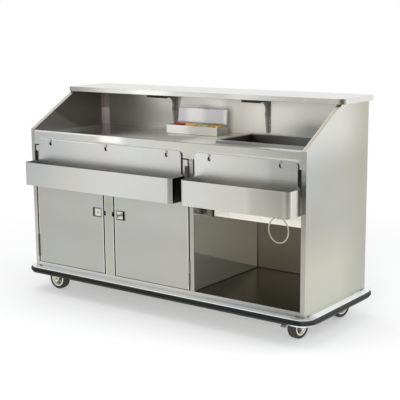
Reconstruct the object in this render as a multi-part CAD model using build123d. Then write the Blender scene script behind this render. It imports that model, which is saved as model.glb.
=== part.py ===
from build123d import *
import math
import os

# Mobile bar, in millimetres. +Z is up and +X is to the right for the operator, who stands on the -Y side.
# The origin is on the floor, under the middle of the whole bar.

# Overall sizes
BODY_W = 1860.0  # over the side panels
BODY_D = 644.0  # front edge to back edge of a side panel
BAR_H = 1206.0  # floor to the top of the bar shelf
WORKTOP_H = 958.0  # floor to the worktop
OPEN_BAY_W = 647.0  # clear width of the open bay

# Sheet metal and panels
SHEET = 1.5
PANEL_T = 26.0
PANEL_NOSE = 6.0  # front corner of a side panel above the apron lip
SLOPE_SETBACK = 17.0  # slope meets the level of the shelf lip this far behind the shelf front
NOTCH_L = 24.0
NOTCH_H = 7.0
NOTCH_INSET = 26.0

# Bar shelf and its brackets
SHELF_SETBACK = 332.0  # body front to shelf front
SHELF_BACK = 40.0  # overhang behind the body
SHELF_SIDE = 20.0  # overhang at each end
SHELF_LIP = 27.5
SHELF_R = 38.0
BRACKET_SPACING = 656.0
BRACKET_W = 30.0
BRACKET_T = 4.0
BRACKET_WEB = 12.0
BRACKET_TIP_GAP = 10.0  # bracket tip behind the shelf front
BRACKET_TIP_DEPTH = 41.0
BRACKET_FOOT_GAP = 11.0  # bracket foot above the worktop
BRACKET_FOOT_DEPTH = 12.0
CORNER_LEG = 41.0

# Worktop and apron
LIP_RISE = 16.0
LIP_W = 18.0
APRON_H = 82.0
APRON_D = 20.0
TOP_SEAM = 0.4  # gap between the two worktop sheets

# Base, bumper and casters
DECK_H = 28.0
CHANNEL_DROP = 2.0  # channel top below the caster mounting plane
CHANNEL_H = 36.0
CHANNEL_FLANGE = 4.0
CHANNEL_LIP = 6.0
CHANNEL_WEB = 4.0
CHANNEL_SET = 16.0  # web outside the body planes
CHANNEL_REACH = 38.0
CHANNEL_INNER = 30.0
BUMPER_REACH = 48.0
BUMPER_R = 82.0
CASTER_RAIL_W = 120.0
CASTER_RAIL_T = 4.0
CASTER_INSET_X = 115.0
CASTER_INSET_Y = 104.0
WHEEL_D = 127.0
CASTER_HEADROOM = 29.0  # tyre top to the mounting plane
TRAIL = 26.0
TYRE_W = 50.0
TYRE_T = 17.5
HUB_R = 15.0
AXLE_R = 5.0
FORK_GAP = 58.0
FORK_T = 4.0
FORK_END_R = 17.0
KINGPIN_R = 9.0
PLATE_X = 102.0
PLATE_Y = 114.0
PLATE_T = 4.0
BOLT_X = 67.0
BOLT_Y = 92.0
BOLT_R = 4.0
BOLT_HOLE = 0.2
PEDAL_ANGLE = 146.0  # pedal pivot, seen from the axle
PEDAL_CLEAR = 16.0  # pedal pivot outside the tyre
PEDAL_L = 62.0
PEDAL_W = 34.0

# Cabinet front
GAP = 10.0
STILE_W = 66.0
STILE_D = 30.0
DOOR_T = 22.0
DOOR_FOOT_GAP = 3.0
DOOR_HEAD_GAP = 8.0
HEADER_GAP = 4.0
HEADER_TOP_GAP = 7.0
KNUCKLE_R = 4.6
PIN_R = 2.5
HINGE_OUT = 3.0  # hinge axis in front of the body
LEAF_T = 2.0
LEAF_D = 18.0
LOW_HINGE_RISE = 30.0  # foot of the lower hinge above the door foot
LOW_HINGE_H = 131.0
TOP_LEAF_H = 20.0
TOP_PIN_L = 30.0
TOP_TUBE_L = 194.0
HINGE_NOTCH_W = 19.0  # cut-out in a header beside its hinge tube
HINGE_NOTCH_H = 100.0

# Latches
LATCH_DROP = 124.0  # latch centre below the door head
LATCH_INSET = 11.0
LATCH_W = 68.0
LATCH_H = 58.0
LATCH_D = 17.0
LATCH_FLANGE = 1.2
PADDLE_L = 43.0
PADDLE_CLEAR = 4.5  # above and below the paddle
PADDLE_T = 3.0
PADDLE_PIN_R = 2.0
PADDLE_WALL = 1.2
PADDLE_GAP = 0.5
BOLT_BAR_H = 12.0
BOLT_BAR_D = 7.0
BOLT_BAR_L = 58.0
BOLT_TIP_GAP = 0.6
PLUG_R = 6.0
STRIKE_W = 10.0  # notch in the stile in front of a bolt's tip
STRIKE_H = 26.0
STRIKE_CLEAR = 3.0

# Speed rails
RAIL_D = 118.0
RAIL_GAP = 7.0  # rail plate off the apron
RAIL_DROP = 44.0  # rail plate top below the apron lip
RAIL_PLATE_H = 130.0
TROUGH_H = 132.0
TROUGH_R = 25.0
PLATE_INSET = 18.0
RAIL_END_BAY = 26.0  # long rail end to the side panel
RAIL_END_SLIT = 29.0  # long rail end to the partition
RAIL_END_OPEN = 2.0  # short rail end past the side panel's inner face
RAIL_START_OPEN = 3.0  # short rail end past the partition's face
KEYHOLE_INSET = 113.0
KEYHOLE_DROP = 10.0
KEYHOLE_CLEAR = 3.5  # round the stud head
STUD_R = 4.0
STUD_HEAD_R = 8.0
STUD_HEAD_T = 3.0
STUD_COLLAR_R = 8.0
RAIL_LIFT = 17.0

# Ice bin and drain
BIN_SIDE = 27.0
BIN_FRONT = 194.0  # body front to the bin
BIN_BACK = 111.0  # bin to the back panel
BIN_RIM = 12.0
BIN_RISE = 18.0
BIN_DEPTH = 396.0
JACKET_T = 16.5
DRAIN_SIDE = 76.0
DRAIN_BACK = 85.0
DRAIN_R = 16.7
VALVE_W = 44.0
VALVE_H = 40.0
VALVE_DROP = 27.0
LEVER_L = 70.0
BLOCK_D = 36.0
BLOCK_W = 11.0
BLOCK_H = 49.0
BLOCK_SETBACK = 67.0
BLOCK_Z = 591.0

# Towel ring
RING_R = 62.5
RING_WIRE_R = 3.5
RING_INSET = 90.0
RING_OUT = 63.0
RING_DROP = 8.0
RING_TURN = -9.0  # hangs turned from the front
CLIP_W = 10.0

# Condiment tray
TRAY_X = -52.5
TRAY_BACK_GAP = 112.0
TRAY_W = 357.0
TRAY_D = 105.0
TRAY_H = 50.0
TRAY_COUNT = 4
LID_L = 84.0
LID_RISE = 9.0
LID_SKIRT = 7.0
LID_LEAN = 5.0
LID_PIN_R = 2.0

# Fits
RUN_FIT = 0.05  # radial clearance of a turning pin
SEAT = 0.3  # clearance of parts that move on each other

# Screws
SCREW_R = 2.5
SCREW_HEAD_R = 4.5
SCREW_HEAD_T = 2.4
SCREW_HOLE = 0.1

# Levels and planes that follow from the sizes above
TOTAL_D = max(RAIL_D, BUMPER_REACH) + BODY_D + max(SHELF_BACK, BUMPER_REACH)
YF = -TOTAL_D / 2 + max(RAIL_D, BUMPER_REACH)
YB = YF + BODY_D
YI = YB - PANEL_T
BIN_D = YI - BIN_BACK - YF - BIN_FRONT
XS = BODY_W / 2
XI = XS - PANEL_T
PX1 = XI - OPEN_BAY_W
PX0 = PX1 - PANEL_T
BAY_C = (PX0 - XI) / 2
BAY_HALF = (PX0 + XI) / 2
MOUNT_Z = WHEEL_D + CASTER_HEADROOM
BASE_Z = MOUNT_Z - CHANNEL_DROP
DECK_Z = BASE_Z + DECK_H
LIP_Z = WORKTOP_H + LIP_RISE
APRON_Z = LIP_Z - APRON_H
TOP_Z = BAR_H - SHEET
RAIL_TOP = LIP_Z - RAIL_DROP
TROUGH_TOP = RAIL_TOP - RAIL_PLATE_H
TROUGH_Z = TROUGH_TOP - TROUGH_H
DOOR_Z = DECK_Z + DOOR_FOOT_GAP
DOOR_TOP = TROUGH_Z - DOOR_HEAD_GAP
SHELF_Y = YF + SHELF_SETBACK
NOSE_Z = LIP_Z + PANEL_NOSE
SLOPE = (BAR_H - SHELF_LIP - NOSE_Z) / (SHELF_SETBACK + SLOPE_SETBACK)
RAIL_Y = YF - RAIL_D
PLATE_Y1 = YF - RAIL_GAP
PLATE_Y0 = PLATE_Y1 - SHEET
STUD_Z = RAIL_TOP - KEYHOLE_DROP


# Shape helpers
def block(x0, x1, y0, y1, z0, z1):
    centre = Pos((x0 + x1) / 2, (y0 + y1) / 2, (z0 + z1) / 2)
    return centre * Box(abs(x1 - x0), abs(y1 - y0), abs(z1 - z0))


def rod_x(x0, x1, y, z, r):
    return Pos((x0 + x1) / 2, y, z) * Rot(0, 90, 0) * Cylinder(r, abs(x1 - x0))


def rod_y(y0, y1, x, z, r):
    return Pos(x, (y0 + y1) / 2, z) * Rot(90, 0, 0) * Cylinder(r, abs(y1 - y0))


def rod_z(z0, z1, x, y, r):
    return Pos(x, y, (z0 + z1) / 2) * Cylinder(r, abs(z1 - z0))


def outline(points):
    return make_face(Polyline(*points, close=True))


def prism_x(points, x0, x1):
    return extrude(Plane.YZ.offset(x0) * outline(points), x1 - x0)


def prism_y(points, y0, y1):
    return extrude(Plane.XZ.offset(-y1) * outline(points), y1 - y0)


def prism_z(points, z0, z1):
    return extrude(Plane.XY.offset(z0) * outline(points), z1 - z0)


def rounded_z(x0, x1, y0, y1, z0, z1, r):
    face = Pos((x0 + x1) / 2, (y0 + y1) / 2) * RectangleRounded(x1 - x0, y1 - y0, r)
    return extrude(Plane.XY.offset(z0) * face, z1 - z0)


def group(shapes):
    return Compound(children=[s for shape in shapes for s in shape.solids()])


def turned(shape, x, y, angle):
    return Pos(x, y, 0) * Rot(0, 0, angle) * shape


nodes = {}

# Bar shelf: a pan with a turned-down lip and rounded corners
shelf_y1 = YB + SHELF_BACK
shelf_x = XS + SHELF_SIDE
shelf_pan = rounded_z(-shelf_x, shelf_x, SHELF_Y, shelf_y1, BAR_H - SHELF_LIP, BAR_H, SHELF_R)
shelf_pan -= rounded_z(
    SHEET - shelf_x,
    shelf_x - SHEET,
    SHELF_Y + SHEET,
    shelf_y1 - SHEET,
    BAR_H - SHELF_LIP - 1,
    TOP_Z,
    SHELF_R - SHEET,
)
nodes["bar_shelf"] = shelf_pan


# Side panels: hollow, with a sloped front and an open foot
def slope_z(y):
    return NOSE_Z + SLOPE * (y - YF)


def slope_y(z):
    return YF + (z - NOSE_Z) / SLOPE


skin_drop = SHEET * math.sqrt(1 + SLOPE * SLOPE)
panel_outer = [
    (YF, BASE_Z),
    (YB, BASE_Z),
    (YB, TOP_Z),
    (slope_y(TOP_Z), TOP_Z),
    (YF, NOSE_Z),
]
panel_inner = [
    (YF + SHEET, BASE_Z - 1),
    (YB - SHEET, BASE_Z - 1),
    (YB - SHEET, TOP_Z - SHEET),
    (slope_y(TOP_Z - SHEET + skin_drop), TOP_Z - SHEET),
    (YF + SHEET, slope_z(YF + SHEET) - skin_drop),
]


def side_panel(side):
    shape = prism_x(panel_outer, XI, XS) - prism_x(panel_inner, XI + SHEET, XS - SHEET)
    for y in (YF + NOTCH_INSET, YB - NOTCH_INSET - NOTCH_L):
        shape -= block(XS - 2 * SHEET, XS + 1, y, y + NOTCH_L, BASE_Z - 1, BASE_Z + NOTCH_H)
    return shape if side > 0 else mirror(shape, about=Plane.YZ)


nodes["side_panel_right"] = side_panel(1)
nodes["side_panel_left"] = side_panel(-1)

# Shelf brackets: a plate on the back panel, a plate under the shelf and a curved web between them
arm_tip = SHELF_Y + BRACKET_TIP_GAP
leg_z = WORKTOP_H + BRACKET_FOOT_GAP
arm_l = YI - arm_tip
leg_h = TOP_Z - leg_z
bend = (YI - BRACKET_T - arm_l * 0.33, TOP_Z - BRACKET_TIP_DEPTH - leg_h * 0.08)
knee = (YI - BRACKET_T - BRACKET_FOOT_DEPTH - arm_l * 0.06, TOP_Z - leg_h * 0.52)
hollow = (YI - BRACKET_T - arm_l * 0.14, TOP_Z - leg_h * 0.29)
screw_leg = [(sx, TOP_Z - leg_h * share) for sx in (-1, 1) for share in (0.36, 0.80)]
screw_arm = [(sx, arm_tip + arm_l * 0.20) for sx in (-1, 1)]
screw_x = BRACKET_W / 2 - SCREW_HEAD_R


def bracket(x):
    half = BRACKET_W / 2
    leg = block(x - half, x + half, YI - BRACKET_T, YI, leg_z, TOP_Z)
    leg = fillet(leg.edges().filter_by(Axis.Y).group_by(Axis.Z)[0], half * 0.8)
    arm = block(x - half, x + half, arm_tip, YI, TOP_Z - BRACKET_T, TOP_Z)
    arm = fillet(arm.edges().filter_by(Axis.Z).group_by(Axis.Y)[0], half * 0.8)
    lines = Polyline(
        knee,
        (YI - BRACKET_T - BRACKET_FOOT_DEPTH, leg_z + half * 0.5),
        (YI - 1, leg_z + half * 0.5),
        (YI - 1, TOP_Z - 1),
        (arm_tip + half * 0.5, TOP_Z - 1),
        (arm_tip + half * 0.5, TOP_Z - BRACKET_TIP_DEPTH),
        bend,
    )
    face = make_face([*lines.edges(), ThreePointArc(bend, hollow, knee)])
    web = extrude(Plane.YZ.offset(x - BRACKET_WEB / 2) * face, BRACKET_WEB)
    shape = leg + arm + web
    for sx, z in screw_leg:
        shape -= rod_y(YI - BRACKET_T - 1, YI + 1, x + sx * screw_x, z, SCREW_R + SCREW_HOLE)
    for sx, y in screw_arm:
        shape -= rod_z(TOP_Z - BRACKET_T - 1, TOP_Z + 1, x + sx * screw_x, y, SCREW_R + SCREW_HOLE)
    return shape


bracket_xs = (-BRACKET_SPACING / 2, BRACKET_SPACING / 2)
nodes["shelf_brackets"] = group([bracket(x) for x in bracket_xs])

# Back panel: hollow, between the side panels, with holes for the bracket screws
back = block(-XI, XI, YI, YB, BASE_Z, TOP_Z)
back -= block(SHEET - XI, XI - SHEET, YI + SHEET, YB - SHEET, BASE_Z - 1, TOP_Z - SHEET)
for bx in bracket_xs:
    for sx, z in screw_leg:
        back -= rod_y(YI - 1, YI + SHEET + 1, bx + sx * screw_x, z, SCREW_R + SCREW_HOLE)
nodes["back_panel"] = back

# Base deck: a pan with turned-down flanges, the front one showing as the sill
deck = block(-XI, XI, YF, YI, BASE_Z, DECK_Z)
deck -= block(SHEET - XI, XI - SHEET, YF + SHEET, YI - SHEET, BASE_Z - 1, DECK_Z - SHEET)
for s in (-1, 1):
    deck -= block(s * (XI - NOTCH_L), s * (XI - SHEET), YF - 1, YF + 2 * SHEET, BASE_Z - 1, BASE_Z + NOTCH_H)
nodes["base_deck"] = deck

# Caster rails: two channels under the deck that carry the caster plates
caster_x = XS - CASTER_INSET_X
caster_ys = (YF + CASTER_INSET_Y, YB - CASTER_INSET_Y)
bolt_spots = [(sx * BOLT_X / 2, sy * BOLT_Y / 2) for sx in (-1, 1) for sy in (-1, 1)]


def caster_rail(x):
    half = CASTER_RAIL_W / 2
    y0 = YF + SHEET
    y1 = YI - SHEET
    shape = block(x - half, x + half, y0, y1, MOUNT_Z, DECK_Z - SHEET)
    shape -= block(
        x - half + CASTER_RAIL_T,
        x + half - CASTER_RAIL_T,
        y0 - 1,
        y1 + 1,
        MOUNT_Z + CASTER_RAIL_T,
        DECK_Z,
    )
    for y in caster_ys:
        for dx, dy in bolt_spots:
            shape -= rod_z(MOUNT_Z - 1, DECK_Z, x + dx, y + dy, BOLT_R + BOLT_HOLE)
    return shape


nodes["caster_rails"] = group([caster_rail(-caster_x), caster_rail(caster_x)])

# Bumper channel and bumper: one profile each, four straight runs and four corners
corner_set = BUMPER_R - BUMPER_REACH


def corner_run(points, cx, cy, start):
    angle = math.radians(start)
    plane = Plane(
        origin=(cx, cy, 0),
        x_dir=(math.cos(angle), math.sin(angle), 0),
        z_dir=(math.sin(angle), -math.cos(angle), 0),
    )
    face = plane * outline([(u + corner_set, z) for u, z in points])
    return revolve(face, Axis((cx, cy, 0), (0, 0, 1)), 90)


def ring_run(points):
    cx = XS - corner_set
    cy0 = YF + corner_set
    cy1 = YB - corner_set
    return group(
        [
            prism_x([(YF - u, z) for u, z in points], -cx, cx),
            prism_x([(YB + u, z) for u, z in points], -cx, cx),
            prism_y([(XS + u, z) for u, z in points], cy0, cy1),
            prism_y([(-XS - u, z) for u, z in points], cy0, cy1),
            corner_run(points, cx, cy0, -90),
            corner_run(points, cx, cy1, 0),
            corner_run(points, -cx, cy1, 90),
            corner_run(points, -cx, cy0, 180),
        ]
    )


web_out = CHANNEL_SET + CHANNEL_WEB
channel_z0 = BASE_Z - CHANNEL_H
strip_z0 = channel_z0 + CHANNEL_LIP
strip_z1 = BASE_Z - CHANNEL_FLANGE
strip_mid = (strip_z0 + strip_z1) / 2
nodes["bumper_channel"] = ring_run(
    [
        (-CHANNEL_INNER, BASE_Z),
        (CHANNEL_REACH, BASE_Z),
        (CHANNEL_REACH, strip_z1),
        (web_out, strip_z1),
        (web_out, strip_z0),
        (CHANNEL_REACH, strip_z0),
        (CHANNEL_REACH, channel_z0),
        (CHANNEL_SET, channel_z0),
        (CHANNEL_SET, strip_z1),
        (-CHANNEL_INNER, strip_z1),
    ]
)
nodes["bumper_strip"] = ring_run(
    [
        (web_out, strip_z0),
        (CHANNEL_REACH + 2, strip_z0),
        (BUMPER_REACH - 3, strip_z0 + 3),
        (BUMPER_REACH, strip_z0 + 8),
        (BUMPER_REACH, strip_mid - 4),
        (BUMPER_REACH - 3, strip_mid - 2.5),
        (BUMPER_REACH - 1, strip_mid - 1),
        (BUMPER_REACH - 1, strip_mid + 1),
        (BUMPER_REACH - 3, strip_mid + 2.5),
        (BUMPER_REACH, strip_mid + 4),
        (BUMPER_REACH, strip_z1 - 8),
        (BUMPER_REACH - 3, strip_z1 - 3),
        (CHANNEL_REACH + 2, strip_z1),
        (web_out, strip_z1),
    ]
)

# Casters, each drawn about its swivel axis with the wheel trailing toward +X
wheel_r = WHEEL_D / 2
rim_r = wheel_r - TYRE_T
plate_z0 = MOUNT_Z - PLATE_T
bridge_z1 = plate_z0 - 12.0
bridge_z0 = bridge_z1 - 6.0
leg_in = FORK_GAP / 2
leg_out = leg_in + FORK_T
pivot_r = wheel_r + PEDAL_CLEAR
pivot_x = TRAIL + pivot_r * math.cos(math.radians(PEDAL_ANGLE))
pivot_z = wheel_r + pivot_r * math.sin(math.radians(PEDAL_ANGLE))
pedal_pin_r = 3.0


def caster_plate(x, y):
    plate = block(x - PLATE_X / 2, x + PLATE_X / 2, y - PLATE_Y / 2, y + PLATE_Y / 2, plate_z0, MOUNT_Z)
    plate = fillet(plate.edges().filter_by(Axis.Z), 10)
    plate += rod_z(bridge_z0 - 5, plate_z0, x, y, KINGPIN_R)
    plate += rod_z(bridge_z0 - SEAT - 5, bridge_z0 - SEAT, x, y, KINGPIN_R + 4)
    for dx, dy in bolt_spots:
        plate -= rod_z(plate_z0 - 1, MOUNT_Z + 1, x + dx, y + dy, BOLT_R + BOLT_HOLE)
    return plate


def caster_bolt(x, y):
    bolt = rod_z(plate_z0 - 4, MOUNT_Z + CASTER_RAIL_T + 9, x, y, BOLT_R)
    head = extrude(Plane.XY.offset(plate_z0 - 5) * Pos(x, y) * RegularPolygon(7.5, 6), 5)
    nut = extrude(Plane.XY.offset(MOUNT_Z + CASTER_RAIL_T) * Pos(x, y) * RegularPolygon(7.5, 6), 7)
    return bolt + head + nut


def fork_leg(y0, braked):
    with BuildSketch(Plane.XZ) as leg:
        with Locations((TRAIL, wheel_r)):
            Circle(FORK_END_R)
        with Locations((0, (bridge_z0 + bridge_z1) / 2)):
            Rectangle(60, bridge_z1 - bridge_z0)
        make_hull()
    shape = Pos(0, y0 + FORK_T, 0) * extrude(leg.sketch, FORK_T)
    if braked:
        with BuildSketch(Plane.XZ) as ear:
            with Locations((pivot_x, pivot_z)):
                Circle(9)
            with Locations((-15, (bridge_z0 + bridge_z1) / 2)):
                Rectangle(30, bridge_z1 - bridge_z0)
            make_hull()
        shape += Pos(0, y0 + FORK_T, 0) * extrude(ear.sketch, FORK_T)
    return shape


def caster_fork(braked):
    fork = rod_z(bridge_z1, plate_z0 - SEAT, 0, 0, 30)
    fork += block(-30, 30, -leg_out, leg_out, bridge_z0, bridge_z1)
    fork += fork_leg(leg_in, braked) + fork_leg(-leg_out, braked)
    fork -= rod_z(bridge_z0 - 1, plate_z0, 0, 0, KINGPIN_R + RUN_FIT)
    fork -= rod_y(-leg_out - 1, leg_out + 1, TRAIL, wheel_r, AXLE_R)
    if braked:
        fork -= rod_y(-leg_out - 1, leg_out + 1, pivot_x, pivot_z, pedal_pin_r + RUN_FIT)
    return fork


def caster_axle():
    axle = rod_y(-leg_out, leg_out, TRAIL, wheel_r, AXLE_R)
    for s in (-1, 1):
        axle += rod_y(s * leg_out, s * (leg_out + 5), TRAIL, wheel_r, 8.5)
    return axle


def caster_wheel():
    hub_half = leg_in - SEAT
    rim_half = TYRE_W / 2 - 3
    wheel = rod_y(-hub_half, hub_half, TRAIL, wheel_r, HUB_R)
    wheel += rod_y(-3, 3, TRAIL, wheel_r, rim_r - 1)
    wheel += rod_y(-rim_half, rim_half, TRAIL, wheel_r, rim_r) - rod_y(
        -rim_half - 1, rim_half + 1, TRAIL, wheel_r, rim_r - 7
    )
    window_r = (HUB_R + rim_r - 7) / 2
    for i in range(6):
        turn = math.radians(60 * i + 30)
        wx = TRAIL + window_r * math.cos(turn)
        wz = wheel_r + window_r * math.sin(turn)
        wheel -= rod_y(-4, 4, wx, wz, (rim_r - 7 - HUB_R) * 0.40)
    return wheel - rod_y(-hub_half - 1, hub_half + 1, TRAIL, wheel_r, AXLE_R + RUN_FIT)


def caster_tyre():
    half = TYRE_W / 2
    points = [
        (rim_r, -half + 3),
        (rim_r + 5, -half),
        (wheel_r - 6, -half),
        (wheel_r - 1.5, -half + 5),
        (wheel_r, -half + 11),
        (wheel_r, half - 11),
        (wheel_r - 1.5, half - 5),
        (wheel_r - 6, half),
        (rim_r + 5, half),
        (rim_r, half - 3),
    ]
    ring = revolve(Plane.XY * outline([(y, r) for r, y in points]), Axis.X)
    return Pos(TRAIL, 0, wheel_r) * Rot(0, 0, 90) * ring


def caster_pedal():
    half = PEDAL_W / 2
    tip = (pivot_x - PEDAL_L, pivot_z - PEDAL_L * 0.30)
    with BuildSketch(Plane.XZ) as lever:
        with Locations((pivot_x, pivot_z)):
            Circle(7)
        with Locations((pivot_x - PEDAL_L * 0.45, pivot_z - PEDAL_L * 0.06)):
            Circle(3.2)
        make_hull()
    with BuildSketch(Plane.XZ) as tread:
        with Locations((pivot_x - PEDAL_L * 0.45, pivot_z - PEDAL_L * 0.06)):
            Circle(3.2)
        with Locations(tip):
            Circle(3.2)
        make_hull()
    with BuildSketch(Plane.XZ) as pad:
        with Locations((pivot_x, pivot_z)):
            Circle(5)
        with Locations((pivot_x + 5, pivot_z - 10)):
            Circle(4)
        make_hull()
    shape = Pos(0, half, 0) * extrude(lever.sketch + tread.sketch, PEDAL_W)
    shape += Pos(0, TYRE_W / 2 - 2, 0) * extrude(pad.sketch, TYRE_W - 4)
    return shape + rod_y(-leg_out, leg_out, pivot_x, pivot_z, pedal_pin_r)


caster_spots = {
    "front_left": (-caster_x, caster_ys[0], 180, True),
    "front_right": (caster_x, caster_ys[0], 85, True),
    "rear_left": (-caster_x, caster_ys[1], 60, False),
    "rear_right": (caster_x, caster_ys[1], 78, False),
}
nodes["caster_plates"] = group([caster_plate(x, y) for x, y, turn, braked in caster_spots.values()])
nodes["caster_bolts"] = group(
    [caster_bolt(x + dx, y + dy) for x, y, turn, braked in caster_spots.values() for dx, dy in bolt_spots]
)
for spot, (x, y, turn, braked) in caster_spots.items():
    nodes["fork_" + spot] = turned(caster_fork(braked), x, y, turn)
    nodes["axle_" + spot] = turned(caster_axle(), x, y, turn)
    nodes["wheel_" + spot] = turned(caster_wheel(), x, y, turn)
    nodes["tyre_" + spot] = turned(caster_tyre(), x, y, turn)
    if braked:
        nodes["pedal_" + spot] = turned(caster_pedal(), x, y, turn)

# Partition between the bays: hollow, stepped at the top to clear the apron
step_y = YF + APRON_D
part_outer = [
    (YF, DECK_Z),
    (YI, DECK_Z),
    (YI, WORKTOP_H - SHEET),
    (step_y, WORKTOP_H - SHEET),
    (step_y, APRON_Z),
    (YF, APRON_Z),
]
part_inner = [
    (YF + SHEET, DECK_Z - 1),
    (YI - SHEET, DECK_Z - 1),
    (YI - SHEET, WORKTOP_H - 2 * SHEET),
    (step_y + SHEET, WORKTOP_H - 2 * SHEET),
    (step_y + SHEET, APRON_Z - SHEET),
    (YF + SHEET, APRON_Z - SHEET),
]
front_screw_z = APRON_Z - 17.0
partition = prism_x(part_outer, PX0, PX1) - prism_x(part_inner, PX0 + SHEET, PX1 - SHEET)
partition -= rod_y(YF - 1, YF + SHEET + 1, (PX0 + PX1) / 2, front_screw_z, SCREW_R + SCREW_HOLE)
nodes["partition"] = partition

# Centre stile and the header panels that close the front behind the long speed rail
stile = block(BAY_C - STILE_W / 2, BAY_C + STILE_W / 2, YF, YF + STILE_D, DECK_Z, APRON_Z)
stile -= block(
    BAY_C - STILE_W / 2 + SHEET,
    BAY_C + STILE_W / 2 - SHEET,
    YF + SHEET,
    YF + STILE_D + 1,
    DECK_Z - 1,
    APRON_Z + 1,
)
nodes["centre_stile"] = stile


# Parts of the door bay are placed by their distance from its middle, to one side or the other
def bay(side, u0, u1, y0, y1, z0, z1):
    return block(BAY_C + side * u0, BAY_C + side * u1, y0, y1, z0, z1)


door_u0 = STILE_W / 2 + GAP
door_u1 = BAY_HALF - GAP
hinge_u = BAY_HALF - GAP / 2
hinge_y = YF - HINGE_OUT
header_z0 = DOOR_TOP + HEADER_GAP
header_z1 = APRON_Z - HEADER_TOP_GAP
leaf_z1 = DOOR_TOP - 2
tube_z0 = leaf_z1 + SEAT
tube_z1 = min(tube_z0 + TOP_TUBE_L, APRON_Z)


# A header is cut out beside its hinge tube
def hinge_notch(side, grow):
    return bay(
        side,
        door_u1 - HINGE_NOTCH_W - grow,
        door_u1 + 2,
        YF - 1,
        YF + DOOR_T + 1,
        tube_z1 - HINGE_NOTCH_H - grow,
        tube_z1 + grow,
    )


def header(side):
    shape = bay(side, STILE_W / 2, door_u1, YF, YF + DOOR_T, header_z0, header_z1) - hinge_notch(side, 0)
    hollow = bay(
        side,
        STILE_W / 2 - 1,
        door_u1 + 1,
        YF + SHEET,
        YF + DOOR_T - SHEET,
        header_z0 + SHEET,
        header_z1 - SHEET,
    )
    shape -= hollow - hinge_notch(side, SHEET)
    return shape + bay(
        side, door_u1 - 1, BAY_HALF, YF + DOOR_T - SHEET, YF + DOOR_T, header_z0, header_z1
    )


nodes["header_panels"] = group([header(-1), header(1)])

# Apron with its raised lip, and the worktop behind it
apron = block(-XI, XI, YF, YF + SHEET, APRON_Z, LIP_Z)
apron += block(-XI, XI, YF, YF + LIP_W, LIP_Z - SHEET, LIP_Z)
apron += block(-XI, XI, YF + LIP_W - SHEET, YF + LIP_W, WORKTOP_H, LIP_Z)
apron += block(-XI, XI, YF, YF + APRON_D, APRON_Z, APRON_Z + SHEET)
nodes["apron"] = apron

bin_x0 = PX1 + BIN_SIDE
bin_x1 = XI - BIN_SIDE
bin_y0 = YF + BIN_FRONT
bin_y1 = bin_y0 + BIN_D
bin_top = WORKTOP_H + BIN_RISE
bin_z0 = bin_top - BIN_DEPTH


def bin_block(grow, z0, z1):
    return block(bin_x0 - grow, bin_x1 + grow, bin_y0 - grow, bin_y1 + grow, z0, z1)


# Four plates round the bin: front and back across its whole width, and the ends between them
def bin_walls(grow, wall, z0, z1):
    x0, x1 = bin_x0 - grow, bin_x1 + grow
    y0, y1 = bin_y0 - grow, bin_y1 + grow
    return [
        block(x0, x1, y0, y0 + wall, z0, z1),
        block(x0, x1, y1 - wall, y1, z0, z1),
        block(x0, x0 + wall, y0 + wall, y1 - wall, z0, z1),
        block(x1 - wall, x1, y0 + wall, y1 - wall, z0, z1),
    ]


# The worktop is two tops that meet over the partition, the right one welded from strips round the bin
seam_x = (PX0 + PX1) / 2
top_x0 = seam_x + TOP_SEAM / 2
hole_y0 = bin_y0 - SHEET
hole_y1 = bin_y1 + SHEET
top_z0 = WORKTOP_H - SHEET
nodes["worktop"] = group(
    [
        block(-XI, seam_x - TOP_SEAM / 2, YF + SHEET, YI, top_z0, WORKTOP_H),
        block(top_x0, XI, YF + SHEET, hole_y0, top_z0, WORKTOP_H),
        block(top_x0, XI, hole_y1, YI, top_z0, WORKTOP_H),
        block(top_x0, bin_x0 - SHEET, hole_y0, hole_y1, top_z0, WORKTOP_H),
        block(bin_x1 + SHEET, XI, hole_y0, hole_y1, top_z0, WORKTOP_H),
    ]
)

# Ice bin liner, welded from plates, with a mitred rim of turned-down angle
drain_x = bin_x1 - DRAIN_SIDE
drain_y = bin_y1 - DRAIN_BACK
bin_floor = bin_block(0, bin_z0, bin_z0 + SHEET)
bin_floor -= rod_z(bin_z0 - 1, bin_z0 + SHEET + 1, drain_x, drain_y, DRAIN_R + SCREW_HOLE)
rim_ring = bin_block(BIN_RIM, WORKTOP_H, bin_top)
rim_ring -= bin_block(BIN_RIM - SHEET, WORKTOP_H - 1, bin_top - SHEET)
rim_ring -= bin_block(SHEET, WORKTOP_H - 1, bin_top + 1)
rim_out = [
    (bin_x0 - BIN_RIM, bin_y0 - BIN_RIM),
    (bin_x1 + BIN_RIM, bin_y0 - BIN_RIM),
    (bin_x1 + BIN_RIM, bin_y1 + BIN_RIM),
    (bin_x0 - BIN_RIM, bin_y1 + BIN_RIM),
]
rim_in = [(bin_x0, bin_y0), (bin_x1, bin_y0), (bin_x1, bin_y1), (bin_x0, bin_y1)]
rim_sides = []
for i in range(4):
    k = (i + 1) % 4
    wedge = prism_z([rim_out[i], rim_out[k], rim_in[k], rim_in[i]], WORKTOP_H - 1, bin_top + 1)
    rim_sides.append(rim_ring & wedge)
nodes["ice_bin_liner"] = group(bin_walls(SHEET, SHEET, bin_z0, bin_top) + [bin_floor] + rim_sides)

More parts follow.
